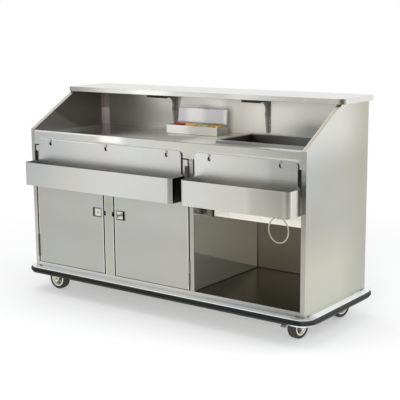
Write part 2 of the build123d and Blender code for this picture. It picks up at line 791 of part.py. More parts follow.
# Insulated jacket: slabs round the liner and one under it
jacket_z0 = bin_z0 - JACKET_T
jacket_y0 = bin_y0 - SHEET - JACKET_T
jacket_screw_z = jacket_z0 + JACKET_T - 3.5
jacket_screw_xs = [bin_x0 + (bin_x1 - bin_x0) * share for share in (0.12, 0.46, 0.78)]
jacket_floor = bin_block(SHEET + JACKET_T, jacket_z0, bin_z0)
jacket_floor -= rod_z(jacket_z0 - 1, bin_z0 + 1, drain_x, drain_y, DRAIN_R + SCREW_HOLE)
for x in jacket_screw_xs:
    jacket_floor -= rod_y(jacket_y0 - 1, jacket_y0 + 9, x, jacket_screw_z, SCREW_R + SCREW_HOLE)
nodes["ice_bin_jacket"] = group(bin_walls(SHEET + JACKET_T, JACKET_T, bin_z0, top_z0) + [jacket_floor])

valve_z1 = jacket_z0 - VALVE_DROP
valve_z0 = valve_z1 - VALVE_H
valve_y0 = drain_y - VALVE_W / 2
valve_z = (valve_z0 + valve_z1) / 2
valve = rod_z(bin_z0 + SHEET, bin_z0 + 2 * SHEET, drain_x, drain_y, DRAIN_R + 7)
valve += rod_z(valve_z0 - 30, bin_z0 + 2 * SHEET, drain_x, drain_y, DRAIN_R)
valve += block(drain_x - VALVE_W / 2, drain_x + VALVE_W / 2, valve_y0, drain_y + VALVE_W / 2, valve_z0, valve_z1)
valve -= rod_z(valve_z1, bin_z0 + 3 * SHEET, drain_x, drain_y, DRAIN_R - 4)
valve -= rod_z(valve_z0 - 31, valve_z0, drain_x, drain_y, DRAIN_R - 4)
valve -= rod_y(valve_y0 - 1, valve_y0 + 14, drain_x, valve_z, 5 + RUN_FIT)
nodes["drain_valve"] = valve

lever = rod_y(valve_y0 - 8, valve_y0 + 13, drain_x, valve_z, 5)
grip = block(drain_x - LEVER_L, drain_x, valve_y0 - 8, valve_y0 - 3, valve_z - 8, valve_z + 8)
lever += grip + rod_y(valve_y0 - 8, valve_y0 - SEAT, drain_x, valve_z, 10)
lever += rod_y(valve_y0 - 8, valve_y0 - 3, drain_x - LEVER_L, valve_z, 8)
nodes["drain_lever"] = lever

block_y = YF + BLOCK_SETBACK
nodes["partition_block"] = block(PX1, PX1 + BLOCK_W, block_y, block_y + BLOCK_D, BLOCK_Z, BLOCK_Z + BLOCK_H)


# Corner angles at the back of the worktop
def corner_post(side):
    post = block(side * XI, side * (XI - CORNER_LEG), YI - SHEET, YI, WORKTOP_H, TOP_Z)
    return post + block(side * XI, side * (XI - SHEET), YI - CORNER_LEG * 0.7, YI, WORKTOP_H, TOP_Z)


nodes["corner_posts"] = group([corner_post(-1), corner_post(1)])


# Pan head screws: brackets, partition front and bin jacket
def screw_y(x, y, z, depth):
    return rod_y(y - SCREW_HEAD_T, y, x, z, SCREW_HEAD_R) + rod_y(y - 1, y + depth, x, z, SCREW_R)


def screw_z(x, y, z, depth):
    return rod_z(z - SCREW_HEAD_T, z, x, y, SCREW_HEAD_R) + rod_z(z - 1, z + depth, x, y, SCREW_R)


screws = []
for bx in bracket_xs:
    screws += [screw_y(bx + sx * screw_x, YI - BRACKET_T, z, BRACKET_T + SHEET + 2) for sx, z in screw_leg]
    screws += [screw_z(bx + sx * screw_x, y, TOP_Z - BRACKET_T, BRACKET_T) for sx, y in screw_arm]
screws += [screw_y((PX0 + PX1) / 2, YF, front_screw_z, SHEET + 2)]
screws += [screw_y(x, jacket_y0, jacket_screw_z, 8) for x in jacket_screw_xs]
nodes["pan_screws"] = group(screws)

# Hinges: lift-off lower hinges and upper tubes on the frame, leaves with knuckles and a top pin on the doors
low_z0 = DOOR_Z + LOW_HINGE_RISE
low_z1 = low_z0 + LOW_HINGE_H
low_mid = (low_z0 + low_z1) / 2
leaf_z0 = leaf_z1 - TOP_LEAF_H
leaf_y1 = YF + LEAF_D


def knuckle(side, z0, z1, r):
    return rod_z(z0, z1, BAY_C + side * hinge_u, hinge_y, r)


def frame_hinge(side):
    lower = bay(side, BAY_HALF - LEAF_T, BAY_HALF, hinge_y, leaf_y1, low_z0, low_mid - SEAT / 2)
    lower += knuckle(side, low_z0, low_mid - SEAT / 2, KNUCKLE_R)
    lower += knuckle(side, low_mid - 1, low_z1 - 6, PIN_R)
    upper = bay(side, BAY_HALF - LEAF_T, BAY_HALF, hinge_y, leaf_y1, tube_z0, tube_z1)
    upper += knuckle(side, tube_z0, tube_z1, KNUCKLE_R)
    upper -= knuckle(side, tube_z0 - 1, tube_z0 + TOP_PIN_L + 2, PIN_R + RUN_FIT)
    return [lower, upper]


def door_hinge(side):
    lower = bay(side, door_u1, door_u1 + LEAF_T, hinge_y, leaf_y1, low_mid + SEAT / 2, low_z1)
    lower += knuckle(side, low_mid + SEAT / 2, low_z1, KNUCKLE_R)
    lower -= knuckle(side, low_mid, low_z1 - 5, PIN_R + RUN_FIT)
    upper = bay(side, door_u1, door_u1 + LEAF_T, hinge_y, leaf_y1, leaf_z0, leaf_z1)
    upper += knuckle(side, leaf_z0, leaf_z1, KNUCKLE_R)
    upper += knuckle(side, leaf_z1 - 1, leaf_z1 + TOP_PIN_L, PIN_R)
    return [lower, upper]


frame_screen = frame_hinge(-1) + frame_hinge(1)
nodes["frame_hinges"] = group(frame_screen)
nodes["door_hinges_left"] = group(door_hinge(-1))
nodes["door_hinges_right"] = group(door_hinge(1))

# Doors with flush paddle latches
latch_z = DOOR_TOP - LATCH_DROP
latch_u0 = door_u0 + LATCH_INSET
latch_u1 = latch_u0 + LATCH_W
cup_rim = 2.0
cup_u0 = latch_u0 + cup_rim
cup_u1 = latch_u1 - cup_rim
cup_h = LATCH_H / 2 - cup_rim
well_u0 = cup_u0 + SHEET
well_u1 = cup_u1 - SHEET
well_h = cup_h - SHEET
paddle_y0 = YF - 1.0
paddle_y1 = paddle_y0 + PADDLE_T
paddle_h = well_h - PADDLE_CLEAR
paddle_barrel_r = PADDLE_PIN_R + PADDLE_WALL
pivot_u = well_u0 + PADDLE_GAP + paddle_barrel_r
pivot_y = paddle_y1 + PADDLE_PIN_R
paddle_u0 = pivot_u - 1.0
paddle_u1 = paddle_u0 + PADDLE_L
bolt_y0 = pivot_y + paddle_barrel_r + PADDLE_GAP
bolt_y1 = bolt_y0 + BOLT_BAR_D
bolt_u0 = STILE_W / 2 + BOLT_TIP_GAP
bolt_h = BOLT_BAR_H / 2
plug_u = (paddle_u0 + paddle_u1) / 2


def bolt_slot(side, u0, u1):
    return bay(
        side,
        u0,
        u1,
        bolt_y0 - SEAT,
        bolt_y1 + SEAT,
        latch_z - bolt_h - SEAT,
        latch_z + bolt_h + SEAT,
    )


def door(side):
    shape = bay(side, door_u0, door_u1, YF, YF + DOOR_T, DOOR_Z, DOOR_TOP)
    shape -= bay(
        side,
        door_u0 + SHEET,
        door_u1 - SHEET,
        YF + SHEET,
        YF + DOOR_T - SHEET,
        DOOR_Z + SHEET,
        DOOR_TOP - SHEET,
    )
    shape -= bay(side, cup_u0, cup_u1, YF - 1, YF + 2 * SHEET, latch_z - cup_h, latch_z + cup_h)
    return shape - bolt_slot(side, door_u0 - 1, door_u0 + 2 * SHEET)


def latch_cup(side):
    cup = bay(
        side,
        latch_u0,
        latch_u1,
        YF - LATCH_FLANGE,
        YF,
        latch_z - LATCH_H / 2,
        latch_z + LATCH_H / 2,
    )
    cup += bay(side, cup_u0, cup_u1, YF - 0.5, YF + LATCH_D, latch_z - cup_h, latch_z + cup_h)
    cup -= bay(
        side,
        well_u0,
        well_u1,
        YF - LATCH_FLANGE - 1,
        YF + LATCH_D - SHEET,
        latch_z - well_h,
        latch_z + well_h,
    )
    cup -= bolt_slot(side, cup_u0 - 1, well_u0 + 1)
    return cup - rod_z(
        latch_z - cup_h - 1,
        latch_z + cup_h + 1,
        BAY_C + side * pivot_u,
        pivot_y,
        PADDLE_PIN_R + RUN_FIT,
    )


def latch_paddle(side, keyed):
    pivot_at = BAY_C + side * pivot_u
    plug_at = BAY_C + side * plug_u
    shape = bay(
        side, paddle_u0, paddle_u1, paddle_y0, paddle_y1, latch_z - paddle_h, latch_z + paddle_h
    )
    shape += rod_z(latch_z - paddle_h, latch_z + paddle_h, pivot_at, pivot_y, paddle_barrel_r)
    shape += rod_z(latch_z - cup_h, latch_z + cup_h, pivot_at, pivot_y, PADDLE_PIN_R)
    if keyed:
        return shape - rod_y(paddle_y0 - 1, paddle_y1 + 1, plug_at, latch_z, PLUG_R + RUN_FIT)
    shape += rod_y(paddle_y0 - 0.8, paddle_y1, plug_at, latch_z, PLUG_R)
    return shape - bay(side, plug_u - 0.9, plug_u + 0.9, paddle_y0 - 1, paddle_y1 - 1, latch_z - 4, latch_z + 4)


def latch_bolt(side):
    bar = bay(
        side, bolt_u0, bolt_u0 + BOLT_BAR_L, bolt_y0, bolt_y1, latch_z - bolt_h, latch_z + bolt_h
    )
    near = bar.faces().sort_by(Axis.X)[0 if side > 0 else -1]
    return chamfer(near.edges().sort_by(Axis.Y)[-1], BOLT_BAR_D * 0.6)


def lock_key(side):
    x = BAY_C + side * plug_u
    plug = rod_y(paddle_y0 - 0.8, paddle_y1 + 2, x, latch_z, PLUG_R)
    shank = block(x - 1, x + 1, paddle_y0 - 12, paddle_y0, latch_z - 4, latch_z + 4)
    bow = rod_x(x - 1, x + 1, paddle_y0 - 17, latch_z, 9.5) - rod_x(x - 2, x + 2, paddle_y0 - 21, latch_z, 2.2)
    return plug + shank + bow


for name, side in (("left", -1), ("right", 1)):
    nodes["door_" + name] = door(side)
    nodes["latch_cup_" + name] = latch_cup(side)
    nodes["latch_paddle_" + name] = latch_paddle(side, side > 0)
    nodes["latch_bolt_" + name] = latch_bolt(side)
nodes["lock_key"] = lock_key(1)

# The stile is notched at the tips of the bolts
for side in (-1, 1):
    nodes["centre_stile"] -= bay(
        side,
        STILE_W / 2 - STRIKE_W,
        STILE_W / 2 + 1,
        YF - 1,
        bolt_y1 + STRIKE_CLEAR,
        latch_z - STRIKE_H / 2,
        latch_z + STRIKE_H / 2,
    )


# Speed rails: a trough and a back plate with keyholes that hang on studs
def speed_rail(x0, x1, studs):
    trough = block(x0, x1, RAIL_Y, PLATE_Y1, TROUGH_Z, TROUGH_TOP)
    trough = fillet(trough.edges().filter_by(Axis.Z).group_by(Axis.Y)[0], TROUGH_R)
    well = block(x0 + SHEET, x1 - SHEET, RAIL_Y + SHEET, PLATE_Y0, TROUGH_Z + SHEET, TROUGH_TOP + 1)
    trough -= fillet(well.edges().filter_by(Axis.Z).group_by(Axis.Y)[0], TROUGH_R - SHEET)
    plate = block(x0 + PLATE_INSET, x1 - PLATE_INSET, PLATE_Y0, PLATE_Y1, TROUGH_TOP - 1, RAIL_TOP)
    plate = fillet(plate.edges().filter_by(Axis.Y).group_by(Axis.Z)[-1], TROUGH_R)
    for x, s in ((x0, 1), (x1, -1)):
        flare = block(x, x + s * (PLATE_INSET + 1), PLATE_Y0, PLATE_Y1, TROUGH_TOP - 1, TROUGH_TOP + PLATE_INSET)
        plate += flare - rod_y(PLATE_Y0 - 1, PLATE_Y1 + 1, x, TROUGH_TOP + PLATE_INSET, PLATE_INSET)
    slot_r = STUD_R + SEAT
    for x in studs:
        plate -= rod_y(PLATE_Y0 - 1, PLATE_Y1 + 1, x, STUD_Z, slot_r)
        plate -= block(x - slot_r, x + slot_r, PLATE_Y0 - 1, PLATE_Y1 + 1, STUD_Z - RAIL_LIFT, STUD_Z)
        plate -= rod_y(PLATE_Y0 - 1, PLATE_Y1 + 1, x, STUD_Z - RAIL_LIFT, STUD_HEAD_R + KEYHOLE_CLEAR)
    return trough + plate


long_x0 = RAIL_END_BAY - XI
long_x1 = PX0 - RAIL_END_SLIT
short_x0 = PX1 - RAIL_START_OPEN
short_x1 = XI + RAIL_END_OPEN
long_studs = [long_x0 + KEYHOLE_INSET, (long_x0 + long_x1) / 2, long_x1 - KEYHOLE_INSET]
short_studs = [short_x0 + KEYHOLE_INSET, short_x1 - KEYHOLE_INSET]
nodes["long_speed_rail"] = speed_rail(long_x0, long_x1, long_studs)


# A stud has a collar that keeps the rail off the apron and a domed head
def rail_stud(x):
    head_y = PLATE_Y0 - SEAT
    head = rod_y(head_y - STUD_HEAD_T, head_y, x, STUD_Z, STUD_HEAD_R)
    head = fillet(head.edges().filter_by(GeomType.CIRCLE).sort_by(Axis.Y)[:1], STUD_HEAD_T * 0.8)
    collar = rod_y(PLATE_Y1 + SEAT, YF, x, STUD_Z, STUD_COLLAR_R)
    return head + rod_y(head_y - 1, YF, x, STUD_Z, STUD_R) + collar


nodes["rail_studs"] = group([rail_stud(x) for x in long_studs + short_studs])

# Short speed rail with the towel ring's clip under its trough
ring_x = short_x1 - RING_INSET
ring_y = YF - RING_OUT
ring_z = TROUGH_Z - RING_DROP
ring_spot = Pos(ring_x, ring_y, ring_z) * Rot(0, 0, RING_TURN)
clip = block(-CLIP_W / 2, CLIP_W / 2, -7, 7, -7, RING_DROP)
clip -= rod_x(-CLIP_W, CLIP_W, 0, 0, RING_WIRE_R + 0.45)
nodes["short_speed_rail"] = speed_rail(short_x0, short_x1, short_studs) + ring_spot * clip
nodes["towel_ring"] = ring_spot * Pos(0, 0, -RING_R) * Rot(90, 0, 0) * Torus(RING_R, RING_WIRE_R)

# Condiment tray with its inserts and a lid that stands open
tray_x0 = TRAY_X - TRAY_W / 2
tray_x1 = TRAY_X + TRAY_W / 2
tray_y1 = YI - TRAY_BACK_GAP
tray_y0 = tray_y1 - TRAY_D
tray_top = WORKTOP_H + TRAY_H
lid_y = tray_y1 - 5.0
lid_z = tray_top + LID_RISE
tray = block(tray_x0, tray_x1, tray_y0, tray_y1, WORKTOP_H, tray_top)
for x in (tray_x0, tray_x1 - SHEET):
    tray += block(x, x + SHEET, lid_y - 5, tray_y1, tray_top - 1, lid_z + 5)
tray -= block(
    tray_x0 + SHEET,
    tray_x1 - SHEET,
    tray_y0 + SHEET,
    tray_y1 - SHEET,
    WORKTOP_H + SHEET,
    tray_top + 1,
)
tray -= rod_x(tray_x0 - 1, tray_x1 + 1, lid_y, lid_z, LID_PIN_R + RUN_FIT)
nodes["tray_box"] = tray

lid_x0 = tray_x0 + SHEET + SEAT
lid_x1 = tray_x1 - SHEET - SEAT
lid = block(lid_x0, lid_x1, -SHEET / 2, SHEET / 2, 0, LID_L)
lid += block(lid_x0, lid_x1, -LID_SKIRT, 0, LID_L - SHEET, LID_L)
for x in (lid_x0, lid_x1 - SHEET):
    lid += block(x, x + SHEET, -LID_SKIRT, 0, 10, LID_L)
lid += rod_x(lid_x0, lid_x1, 0, 0, LID_PIN_R + 0.8)
lid += rod_x(tray_x0, tray_x1, 0, 0, LID_PIN_R)
nodes["tray_lid"] = Pos(0, lid_y, lid_z) * Rot(-LID_LEAN, 0, 0) * lid

insert_w = (TRAY_W - 2 * SHEET - (TRAY_COUNT + 1) * SEAT) / TRAY_COUNT
insert_y0 = tray_y0 + SHEET + SEAT
insert_y1 = tray_y1 - SHEET - SEAT
insert_z0 = WORKTOP_H + SHEET
insert_z1 = tray_top - 3.0


def tray_insert(i):
    x0 = tray_x0 + SHEET + SEAT + i * (insert_w + SEAT)
    x1 = x0 + insert_w
    shape = block(x0, x1, insert_y0, insert_y1, insert_z0, insert_z1)
    return shape - block(
        x0 + SHEET, x1 - SHEET, insert_y0 + SHEET, insert_y1 - SHEET, insert_z0 + SHEET, insert_z1 + 1
    )


nodes["tray_inserts"] = group([tray_insert(i) for i in range(TRAY_COUNT)])

# One file for each named piece
os.makedirs("parts", exist_ok=True)
for name, shape in nodes.items():
    export_step(shape, "parts/" + name + ".step")
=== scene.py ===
import bpy
import bmesh
import math
import random
from functools import reduce
from mathutils import Matrix, Vector


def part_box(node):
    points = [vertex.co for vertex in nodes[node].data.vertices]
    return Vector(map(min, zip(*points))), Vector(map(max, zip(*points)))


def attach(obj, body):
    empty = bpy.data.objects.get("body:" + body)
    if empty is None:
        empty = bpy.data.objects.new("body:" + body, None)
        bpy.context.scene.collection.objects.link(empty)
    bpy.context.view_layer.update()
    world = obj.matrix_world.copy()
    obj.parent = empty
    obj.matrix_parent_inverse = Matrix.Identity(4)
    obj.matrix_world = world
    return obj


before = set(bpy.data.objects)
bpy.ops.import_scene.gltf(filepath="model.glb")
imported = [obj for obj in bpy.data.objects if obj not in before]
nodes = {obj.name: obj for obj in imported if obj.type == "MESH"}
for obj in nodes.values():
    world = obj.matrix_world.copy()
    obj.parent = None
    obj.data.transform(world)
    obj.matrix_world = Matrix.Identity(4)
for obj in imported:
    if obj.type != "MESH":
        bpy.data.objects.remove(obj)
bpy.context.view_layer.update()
scene = bpy.context.scene
scene.view_settings.view_transform = "Standard"

# Places on the bar, from the frame, in metres
PART_LOW, PART_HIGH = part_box("partition")
STILE_LOW, STILE_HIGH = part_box("centre_stile")
LEFT_DOOR_LOW, LEFT_DOOR_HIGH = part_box("door_left")
RIGHT_DOOR_LOW, RIGHT_DOOR_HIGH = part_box("door_right")
PADDLE_LOW, PADDLE_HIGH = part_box("latch_paddle_left")
JACKET_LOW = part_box("ice_bin_jacket")[0]
FRONT = PART_LOW.y  # plane of the apron, doors, stile, partition and deck
BACK = PART_HIGH.y  # inner face of the back panel
BAY = PART_HIGH.x  # the partition's face in the open bay
SKIN = 0.0005  # how far a finish reaches past the face that it is for
FRONT_SKIN = FRONT + 0.0018  # just behind the front faces
GAP_FRONT = FRONT + 0.0008  # the front of the gaps between them
BACK_SKIN = BACK + 0.014  # within the back panel
END_IN, END_OUT = (corner.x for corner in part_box("side_panel_right"))
DECK_UNDER, DECK = (corner.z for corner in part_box("base_deck"))
TOP_UNDER, TOP = (corner.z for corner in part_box("worktop"))
STRIP_UNDER, STRIP_TOP = (corner.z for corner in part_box("bumper_strip"))
APRON_UNDER, APRON_TOP = (corner.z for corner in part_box("apron"))
LONG_RAIL_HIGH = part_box("long_speed_rail")[1]
BIN_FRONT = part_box("ice_bin_liner")[0].y
COLLAR_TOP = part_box("ice_bin_liner")[1].z


# Node tree helpers
class Nodes:
    """Short calls for the nodes of one tree. A value is a number, a colour or another node's output."""

    def __init__(self, tree):
        self.tree = tree

    def new(self, kind, **settings):
        node = self.tree.nodes.new("ShaderNode" + kind)
        for key, value in settings.items():
            setattr(node, key, value)
        return node

    def link(self, out, into):
        self.tree.links.new(out, into)

    def feed(self, node, values):
        """Set or link a node's inputs, from pairs of socket and value."""
        for socket, value in values:
            if isinstance(value, bpy.types.NodeSocket):
                self.link(value, node.inputs[socket])
            else:
                node.inputs[socket].default_value = value

    def math(self, kind, a, b=0.0):
        node = self.new("Math", operation=kind)
        self.feed(node, enumerate((a, b)))
        return node.outputs["Value"]

    def plus(self, *values):
        return reduce(lambda a, b: self.math("ADD", a, b), values)

    def times(self, *values):
        return reduce(lambda a, b: self.math("MULTIPLY", a, b), values)

    def most(self, *values):
        return reduce(lambda a, b: self.math("MAXIMUM", a, b), values)

    def more(self, value, mask, amount):
        """A value with an amount added where the mask is 1."""
        return self.plus(value, self.times(mask, amount))

    def off(self, value, centre=0.0):
        """How far a value is from a centre."""
        return self.math("ABSOLUTE", self.math("SUBTRACT", value, centre))

    def span(self, value, a, b, c=0.0, d=1.0, smooth=False):
        """c where the value is a, d where it is b, and held beyond them."""
        node = self.new("MapRange", interpolation_type="SMOOTHSTEP" if smooth else "LINEAR")
        self.feed(node, enumerate((value, a, b, c, d)))
        return node.outputs["Result"]

    def ease(self, value, a, b, c=0.0, d=1.0):
        return self.span(value, a, b, c, d, True)

    def mix(self, share, a, b, kind="MIX"):
        node = self.new("Mix", data_type="RGBA", blend_type=kind)
        colours = ((*v, 1) if isinstance(v, tuple) else v for v in (a, b))
        self.feed(node, zip((0, 6, 7), (share, *colours)))
        return node.outputs[2]

    def mix_shaders(self, share, a, b):
        node = self.new("MixShader")
        self.feed(node, enumerate((share, a, b)))
        return node.outputs[0]

    def split(self, vector):
        node = self.new("SeparateXYZ")
        self.link(vector, node.inputs[0])
        return node.outputs


class Shade(Nodes):
    """A principled material, with calls that read places on the bar and feed the shader."""

    def __init__(self, name, colour, rough, metal=0.0):
        self.mat = bpy.data.materials.new(name)
        self.mat.use_nodes = True
        super().__init__(self.mat.node_tree)
        self.main = self.tree.nodes["Principled BSDF"]
        self.coord = self.new("TexCoord").outputs["Object"]
        self.set("Base Color", (*colour, 1))
        self.set("Roughness", rough)
        self.set("Metallic", metal)

    def set(self, socket, value):
        self.feed(self.main, ((socket, value),))

    def axes(self):
        return self.split(self.coord)

    def normal_axes(self):
        return self.split(self.new("NewGeometry").outputs["Normal"])

    def away(self, centre):
        """Distance from a point."""
        node = self.new("VectorMath", operation="DISTANCE")
        self.feed(node, enumerate((self.coord, centre)))
        return node.outputs["Value"]

    def within(self, low, high):
        """1 inside a box of the bar's own frame, 0 outside it; a limit of None leaves its side open."""
        tests = []
        for value, least, most in zip(self.axes(), low, high):
            if least is not None:
                tests.append(self.math("GREATER_THAN", value, least))
            if most is not None:
                tests.append(self.math("LESS_THAN", value, most))
        return self.times(*tests)

    def noise(self, scale, detail, rough, at=(0, 0, 0)):
        """Noise of so many waves per metre, one number or one for each axis."""
        if not isinstance(scale, tuple):
            scale = (scale, scale, scale)
        place = self.new("Mapping")
        self.feed(place, (("Vector", self.coord), ("Scale", scale), ("Location", at)))
        node = self.new("TexNoise")
        self.feed(node, (("Vector", place.outputs[0]), ("Scale", 1.0)))
        self.feed(node, (("Detail", detail), ("Roughness", rough)))
        return node.outputs["Fac"]

    def bevel(self, radius):
        node = self.new("Bevel", samples=4)
        self.feed(node, (("Radius", radius),))
        return node.outputs["Normal"]

    def bump(self, height, distance, strength, edge=None):
        """Bump, over edges that look rounded to a radius."""
        node = self.new("Bump")
        self.feed(node, (("Height", height), ("Distance", distance), ("Strength", strength)))
        if edge:
            self.link(self.bevel(edge), node.inputs["Normal"])
        self.set("Normal", node.outputs["Normal"])

    def grain_tangent(self, grain):
        comb = self.new("CombineXYZ")
        self.feed(comb, enumerate(grain))
        turn = self.new("VectorTransform", vector_type="VECTOR", convert_from="OBJECT", convert_to="WORLD")
        self.link(comb.outputs[0], turn.inputs[0])
        self.set("Tangent", turn.outputs[0])


# Brushed steel, with painted reflections, highlights and shade, and polish, that change by place on its
# sheets
GRAIN = {"X": (1, 0.02, 0.004), "Y": (0.02, 1, 0.004), "Z": (0.004, 0.02, 1)}
HAIRLINES = (6.0, 760.0)  # waves per metre along and across the grain
BANDS = (1.1, 190.0)
HAIRLINE_DEPTH = 0.000004


def stretched(grain, waves):
    """Waves per metre on each axis, from those along and across the grain."""
    along, across = waves
    return tuple(along if axis == grain else across for axis in "XYZ")


def brushed(
    name, colour, rough, grain="X", aniso=0.8, warm=0.025, streak=0.016, edge=0.0012, marks=0.025, metal=1.0,
    zones=(), drift=None, up=None, slope=None,
):
    """Brushed sheet steel: hairlines, faint tint clouds, hand marks and rolled edges.

    zones are boxes with a finish of their own, many of them painted shade; drift changes tint, metal share
    and roughness by place, its tints mostly painted reflections, highlights and shade; up paints light on the
    faces that look up, slope a painted reflection and highlights on the slanted front edges."""
    s = Shade(name, colour, rough, metal)
    fine = s.noise(stretched(grain, HAIRLINES), 3.0, 0.6)
    band = s.noise(stretched(grain, BANDS), 2.0, 0.5, (0.3, 0.9, 0.2))
    cloud = s.noise(2.3, 3.0, 0.55, (3.1, 1.7, 0.4))
    hands = s.ease(s.noise(8.0, 4.0, 0.6, (1.3, 0.2, 2.7)), 0.54, 0.70, 0.0, marks)
    clouding = s.span(cloud, 0.3, 0.7, -marks, marks)
    spread = s.plus(s.span(band, 0.3, 0.7, -0.006, 0.006), clouding, hands, rough)
    base = colour
    share = metal
    for low, high, tint, rougher, zone_metal in zones:
        mask = s.within(low, high)
        base = s.mix(mask, base, tint)
        if rougher:
            spread = s.more(spread, mask, rougher)
        if zone_metal is not None:
            share = s.more(share, mask, zone_metal - metal)
    if drift:
        base, share, spread = drift(s, base, share, spread)
    # painted light on the faces that look up
    if up:
        base = s.mix(s.span(s.normal_axes()[2], 0.75, 0.95), base, up)
    # a painted reflection and painted highlights on the slanted front edges
    if slope:
        facing = s.normal_axes()[2]
        slanted = s.times(s.span(facing, 0.2, 0.35), s.span(facing, 0.96, 0.9))
        base = s.mix(slanted, base, slope(s))
    cool = (1.0 - warm, 1.0 - 0.2 * warm, 1.0 + 0.6 * warm)
    mild = (1.0 + warm, 1.0, 1.0 - 1.6 * warm)
    base = s.mix(1.0, base, s.mix(s.span(cloud, 0.35, 0.65), cool, mild), "MULTIPLY")
    tone = s.plus(s.times(fine, streak), s.times(band, streak * 0.8), 1.0 - streak * 0.9)
    s.set("Base Color", s.mix(1.0, base, tone, "MULTIPLY"))
    s.set("Metallic", share)
    s.set("Roughness", spread)
    s.set("Anisotropic", aniso)
    s.set("Anisotropic Rotation", 0.25)
    s.grain_tangent(GRAIN[grain])
    s.bump(fine, HAIRLINE_DEPTH, 0.5, edge)
    return s.mat


def slope_tint(s):
    """Front edge of an end panel: a warm painted reflection in the middle, with a painted bright line along
    each rolled side.
    """
    off = s.off(s.off(s.axes()[0]), END_OUT - 0.0125)
    return s.mix(s.ease(off, 0.0075, 0.0105), (0.70, 0.64, 0.53), (0.95, 0.94, 0.91))


def back_drift(s, base, metal, spread):
    """Back panel: painted shade toward its left end over the worktop, more matt behind the tray's right half.

    In the bay it has painted shade, darker toward the ice bin."""
    x, y, z = s.axes()
    inner = s.span(y, BACK_SKIN, BACK_SKIN - 0.005)
    over = s.times(s.span(z, TOP - 0.003, TOP + 0.002), inner)
    darker = s.times(over, s.ease(x, -0.40, -0.74), 0.7)
    base = s.mix(darker, base, (0.20, 0.175, 0.155))
    matt = s.times(s.ease(x, -0.20, 0.0), s.ease(x, 0.62, 0.36), over)
    base = s.mix(s.times(matt, s.span(x, 0.13, 0.22)), base, (0.80, 0.80, 0.775))
    beside = s.times(s.span(x, 0.0, 0.05), s.ease(x, 0.26, 0.14))
    base = s.mix(s.times(matt, beside), base, (0.69, 0.69, 0.665))
    under = s.math("SUBTRACT", s.ease(z, 0.24, 0.42), over)
    dim = s.times(s.span(x, BAY - SKIN, BAY), inner, under)
    base = s.mix(s.most(dim, 0.0), base, (0.155, 0.14, 0.11))
    return base, s.more(metal, matt, -0.72), spread


def part_drift(s, base, metal, spread):
    """Partition: a painted shadow at its head, beside the ice bin, where it is also more matt, and painted
    shade at its foot, more so at the front.

    Both places end at lines that sink toward the back."""
    x, y, z = s.axes()
    face = s.span(x, BAY - 0.0008, BAY - 0.0004)
    line = s.span(s.more(z, y, 0.272), 0.524, 0.531)
    head = s.times(line, s.span(z, 0.556, 0.561), face)
    base = s.mix(head, base, (0.24, 0.225, 0.19))
    low = s.span(s.more(z, y, 0.3406), 0.303, 0.297)
    low = s.times(low, face, s.span(z, DECK + 0.004, DECK + 0.006))
    low = s.times(low, s.span(y, FRONT + 0.0015, FRONT + 0.002), s.span(y, BACK - 0.005, BACK - 0.0055))
    base = s.mix(low, base, (0.60, 0.595, 0.525))
    return base, s.more(metal, head, -0.1), s.more(spread, head, 0.3)


def side_drift(s, base, metal, spread):
    """End panel: a painted reflection on the outer face, paler at the top and foot and warmer toward the
    back.

    The left one has a paler painted reflection inside, at the front of its foot over the worktop. The right
    one's front edge is a painted reflection, paler over the rails."""
    x, y, z = s.axes()
    face = s.mix(s.ease(z, 0.84, 1.08), (0.49, 0.495, 0.46), (0.72, 0.72, 0.69))
    face = s.mix(s.ease(z, 0.66, 0.34), face, (0.61, 0.61, 0.53))
    face = s.mix(s.ease(y, 0.02, 0.36, 0.0, 0.8), face, (0.46, 0.46, 0.39))
    base = s.mix(s.span(s.off(x), END_OUT - 0.006, END_OUT - 0.001), base, face)
    foot = s.times(s.ease(s.more(z, y, 0.5), 1.016, 0.998), s.span(z, TOP_UNDER + 0.0002, TOP_UNDER + 0.0005))
    foot = s.times(foot, s.span(x, 0.0010 - END_IN, 0.0002 - END_IN))
    foot = s.times(foot, s.span(x, -0.006 - END_IN, -0.002 - END_IN))
    base = s.mix(foot, base, (0.50, 0.48, 0.465))
    front = s.times(s.span(s.normal_axes()[1], -0.85, -0.95), s.span(x, 0.0, 0.1))
    edge = s.mix(s.span(z, 0.86, 0.90), (0.41, 0.395, 0.365), (0.66, 0.645, 0.61))
    return s.mix(front, base, edge), metal, spread


def top_drift(s, base, metal, spread):
    """Worktop: brighter polish with a painted dark reflection in its left half; worn matt at its ends and
    beside the ice bin. It has painted light beside the bin and at its right end, and painted shade in front
    of the bin's left half.
    """
    x, y, _ = s.axes()
    left = s.ease(x, -0.26, -0.56)
    base = s.mix(s.times(left, 0.6), base, (0.52, 0.51, 0.49))
    beside = s.times(s.ease(x, 0.0, 0.14), s.ease(x, 0.32, 0.22))
    base = s.mix(beside, base, (0.84, 0.825, 0.77))
    ahead = s.times(s.ease(x, 0.24, 0.34), s.ease(x, 0.60, 0.48))
    base = s.mix(ahead, base, (0.62, 0.615, 0.585))
    right = s.ease(x, 0.52, 0.68)
    base = s.mix(right, base, (0.86, 0.85, 0.81))
    behind = s.times(s.span(x, 0.07, 0.12), s.ease(x, 0.30, 0.24), s.ease(y, 0.04, 0.16))
    worn = s.plus(s.times(beside, 0.36), s.times(behind, 0.34), s.times(right, 0.44))
    worn = s.plus(worn, s.ease(x, -0.66, -0.82, 0.0, 0.22))
    return base, s.math("SUBTRACT", metal, worn), s.more(spread, left, -0.16)


def along_plate(s, x, rail):
    """1 along a speed rail's plate, fading out near its ends."""
    low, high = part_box(rail)
    return s.times(s.span(x, low.x + 0.016, low.x + 0.036), s.span(x, high.x - 0.016, high.x - 0.036))


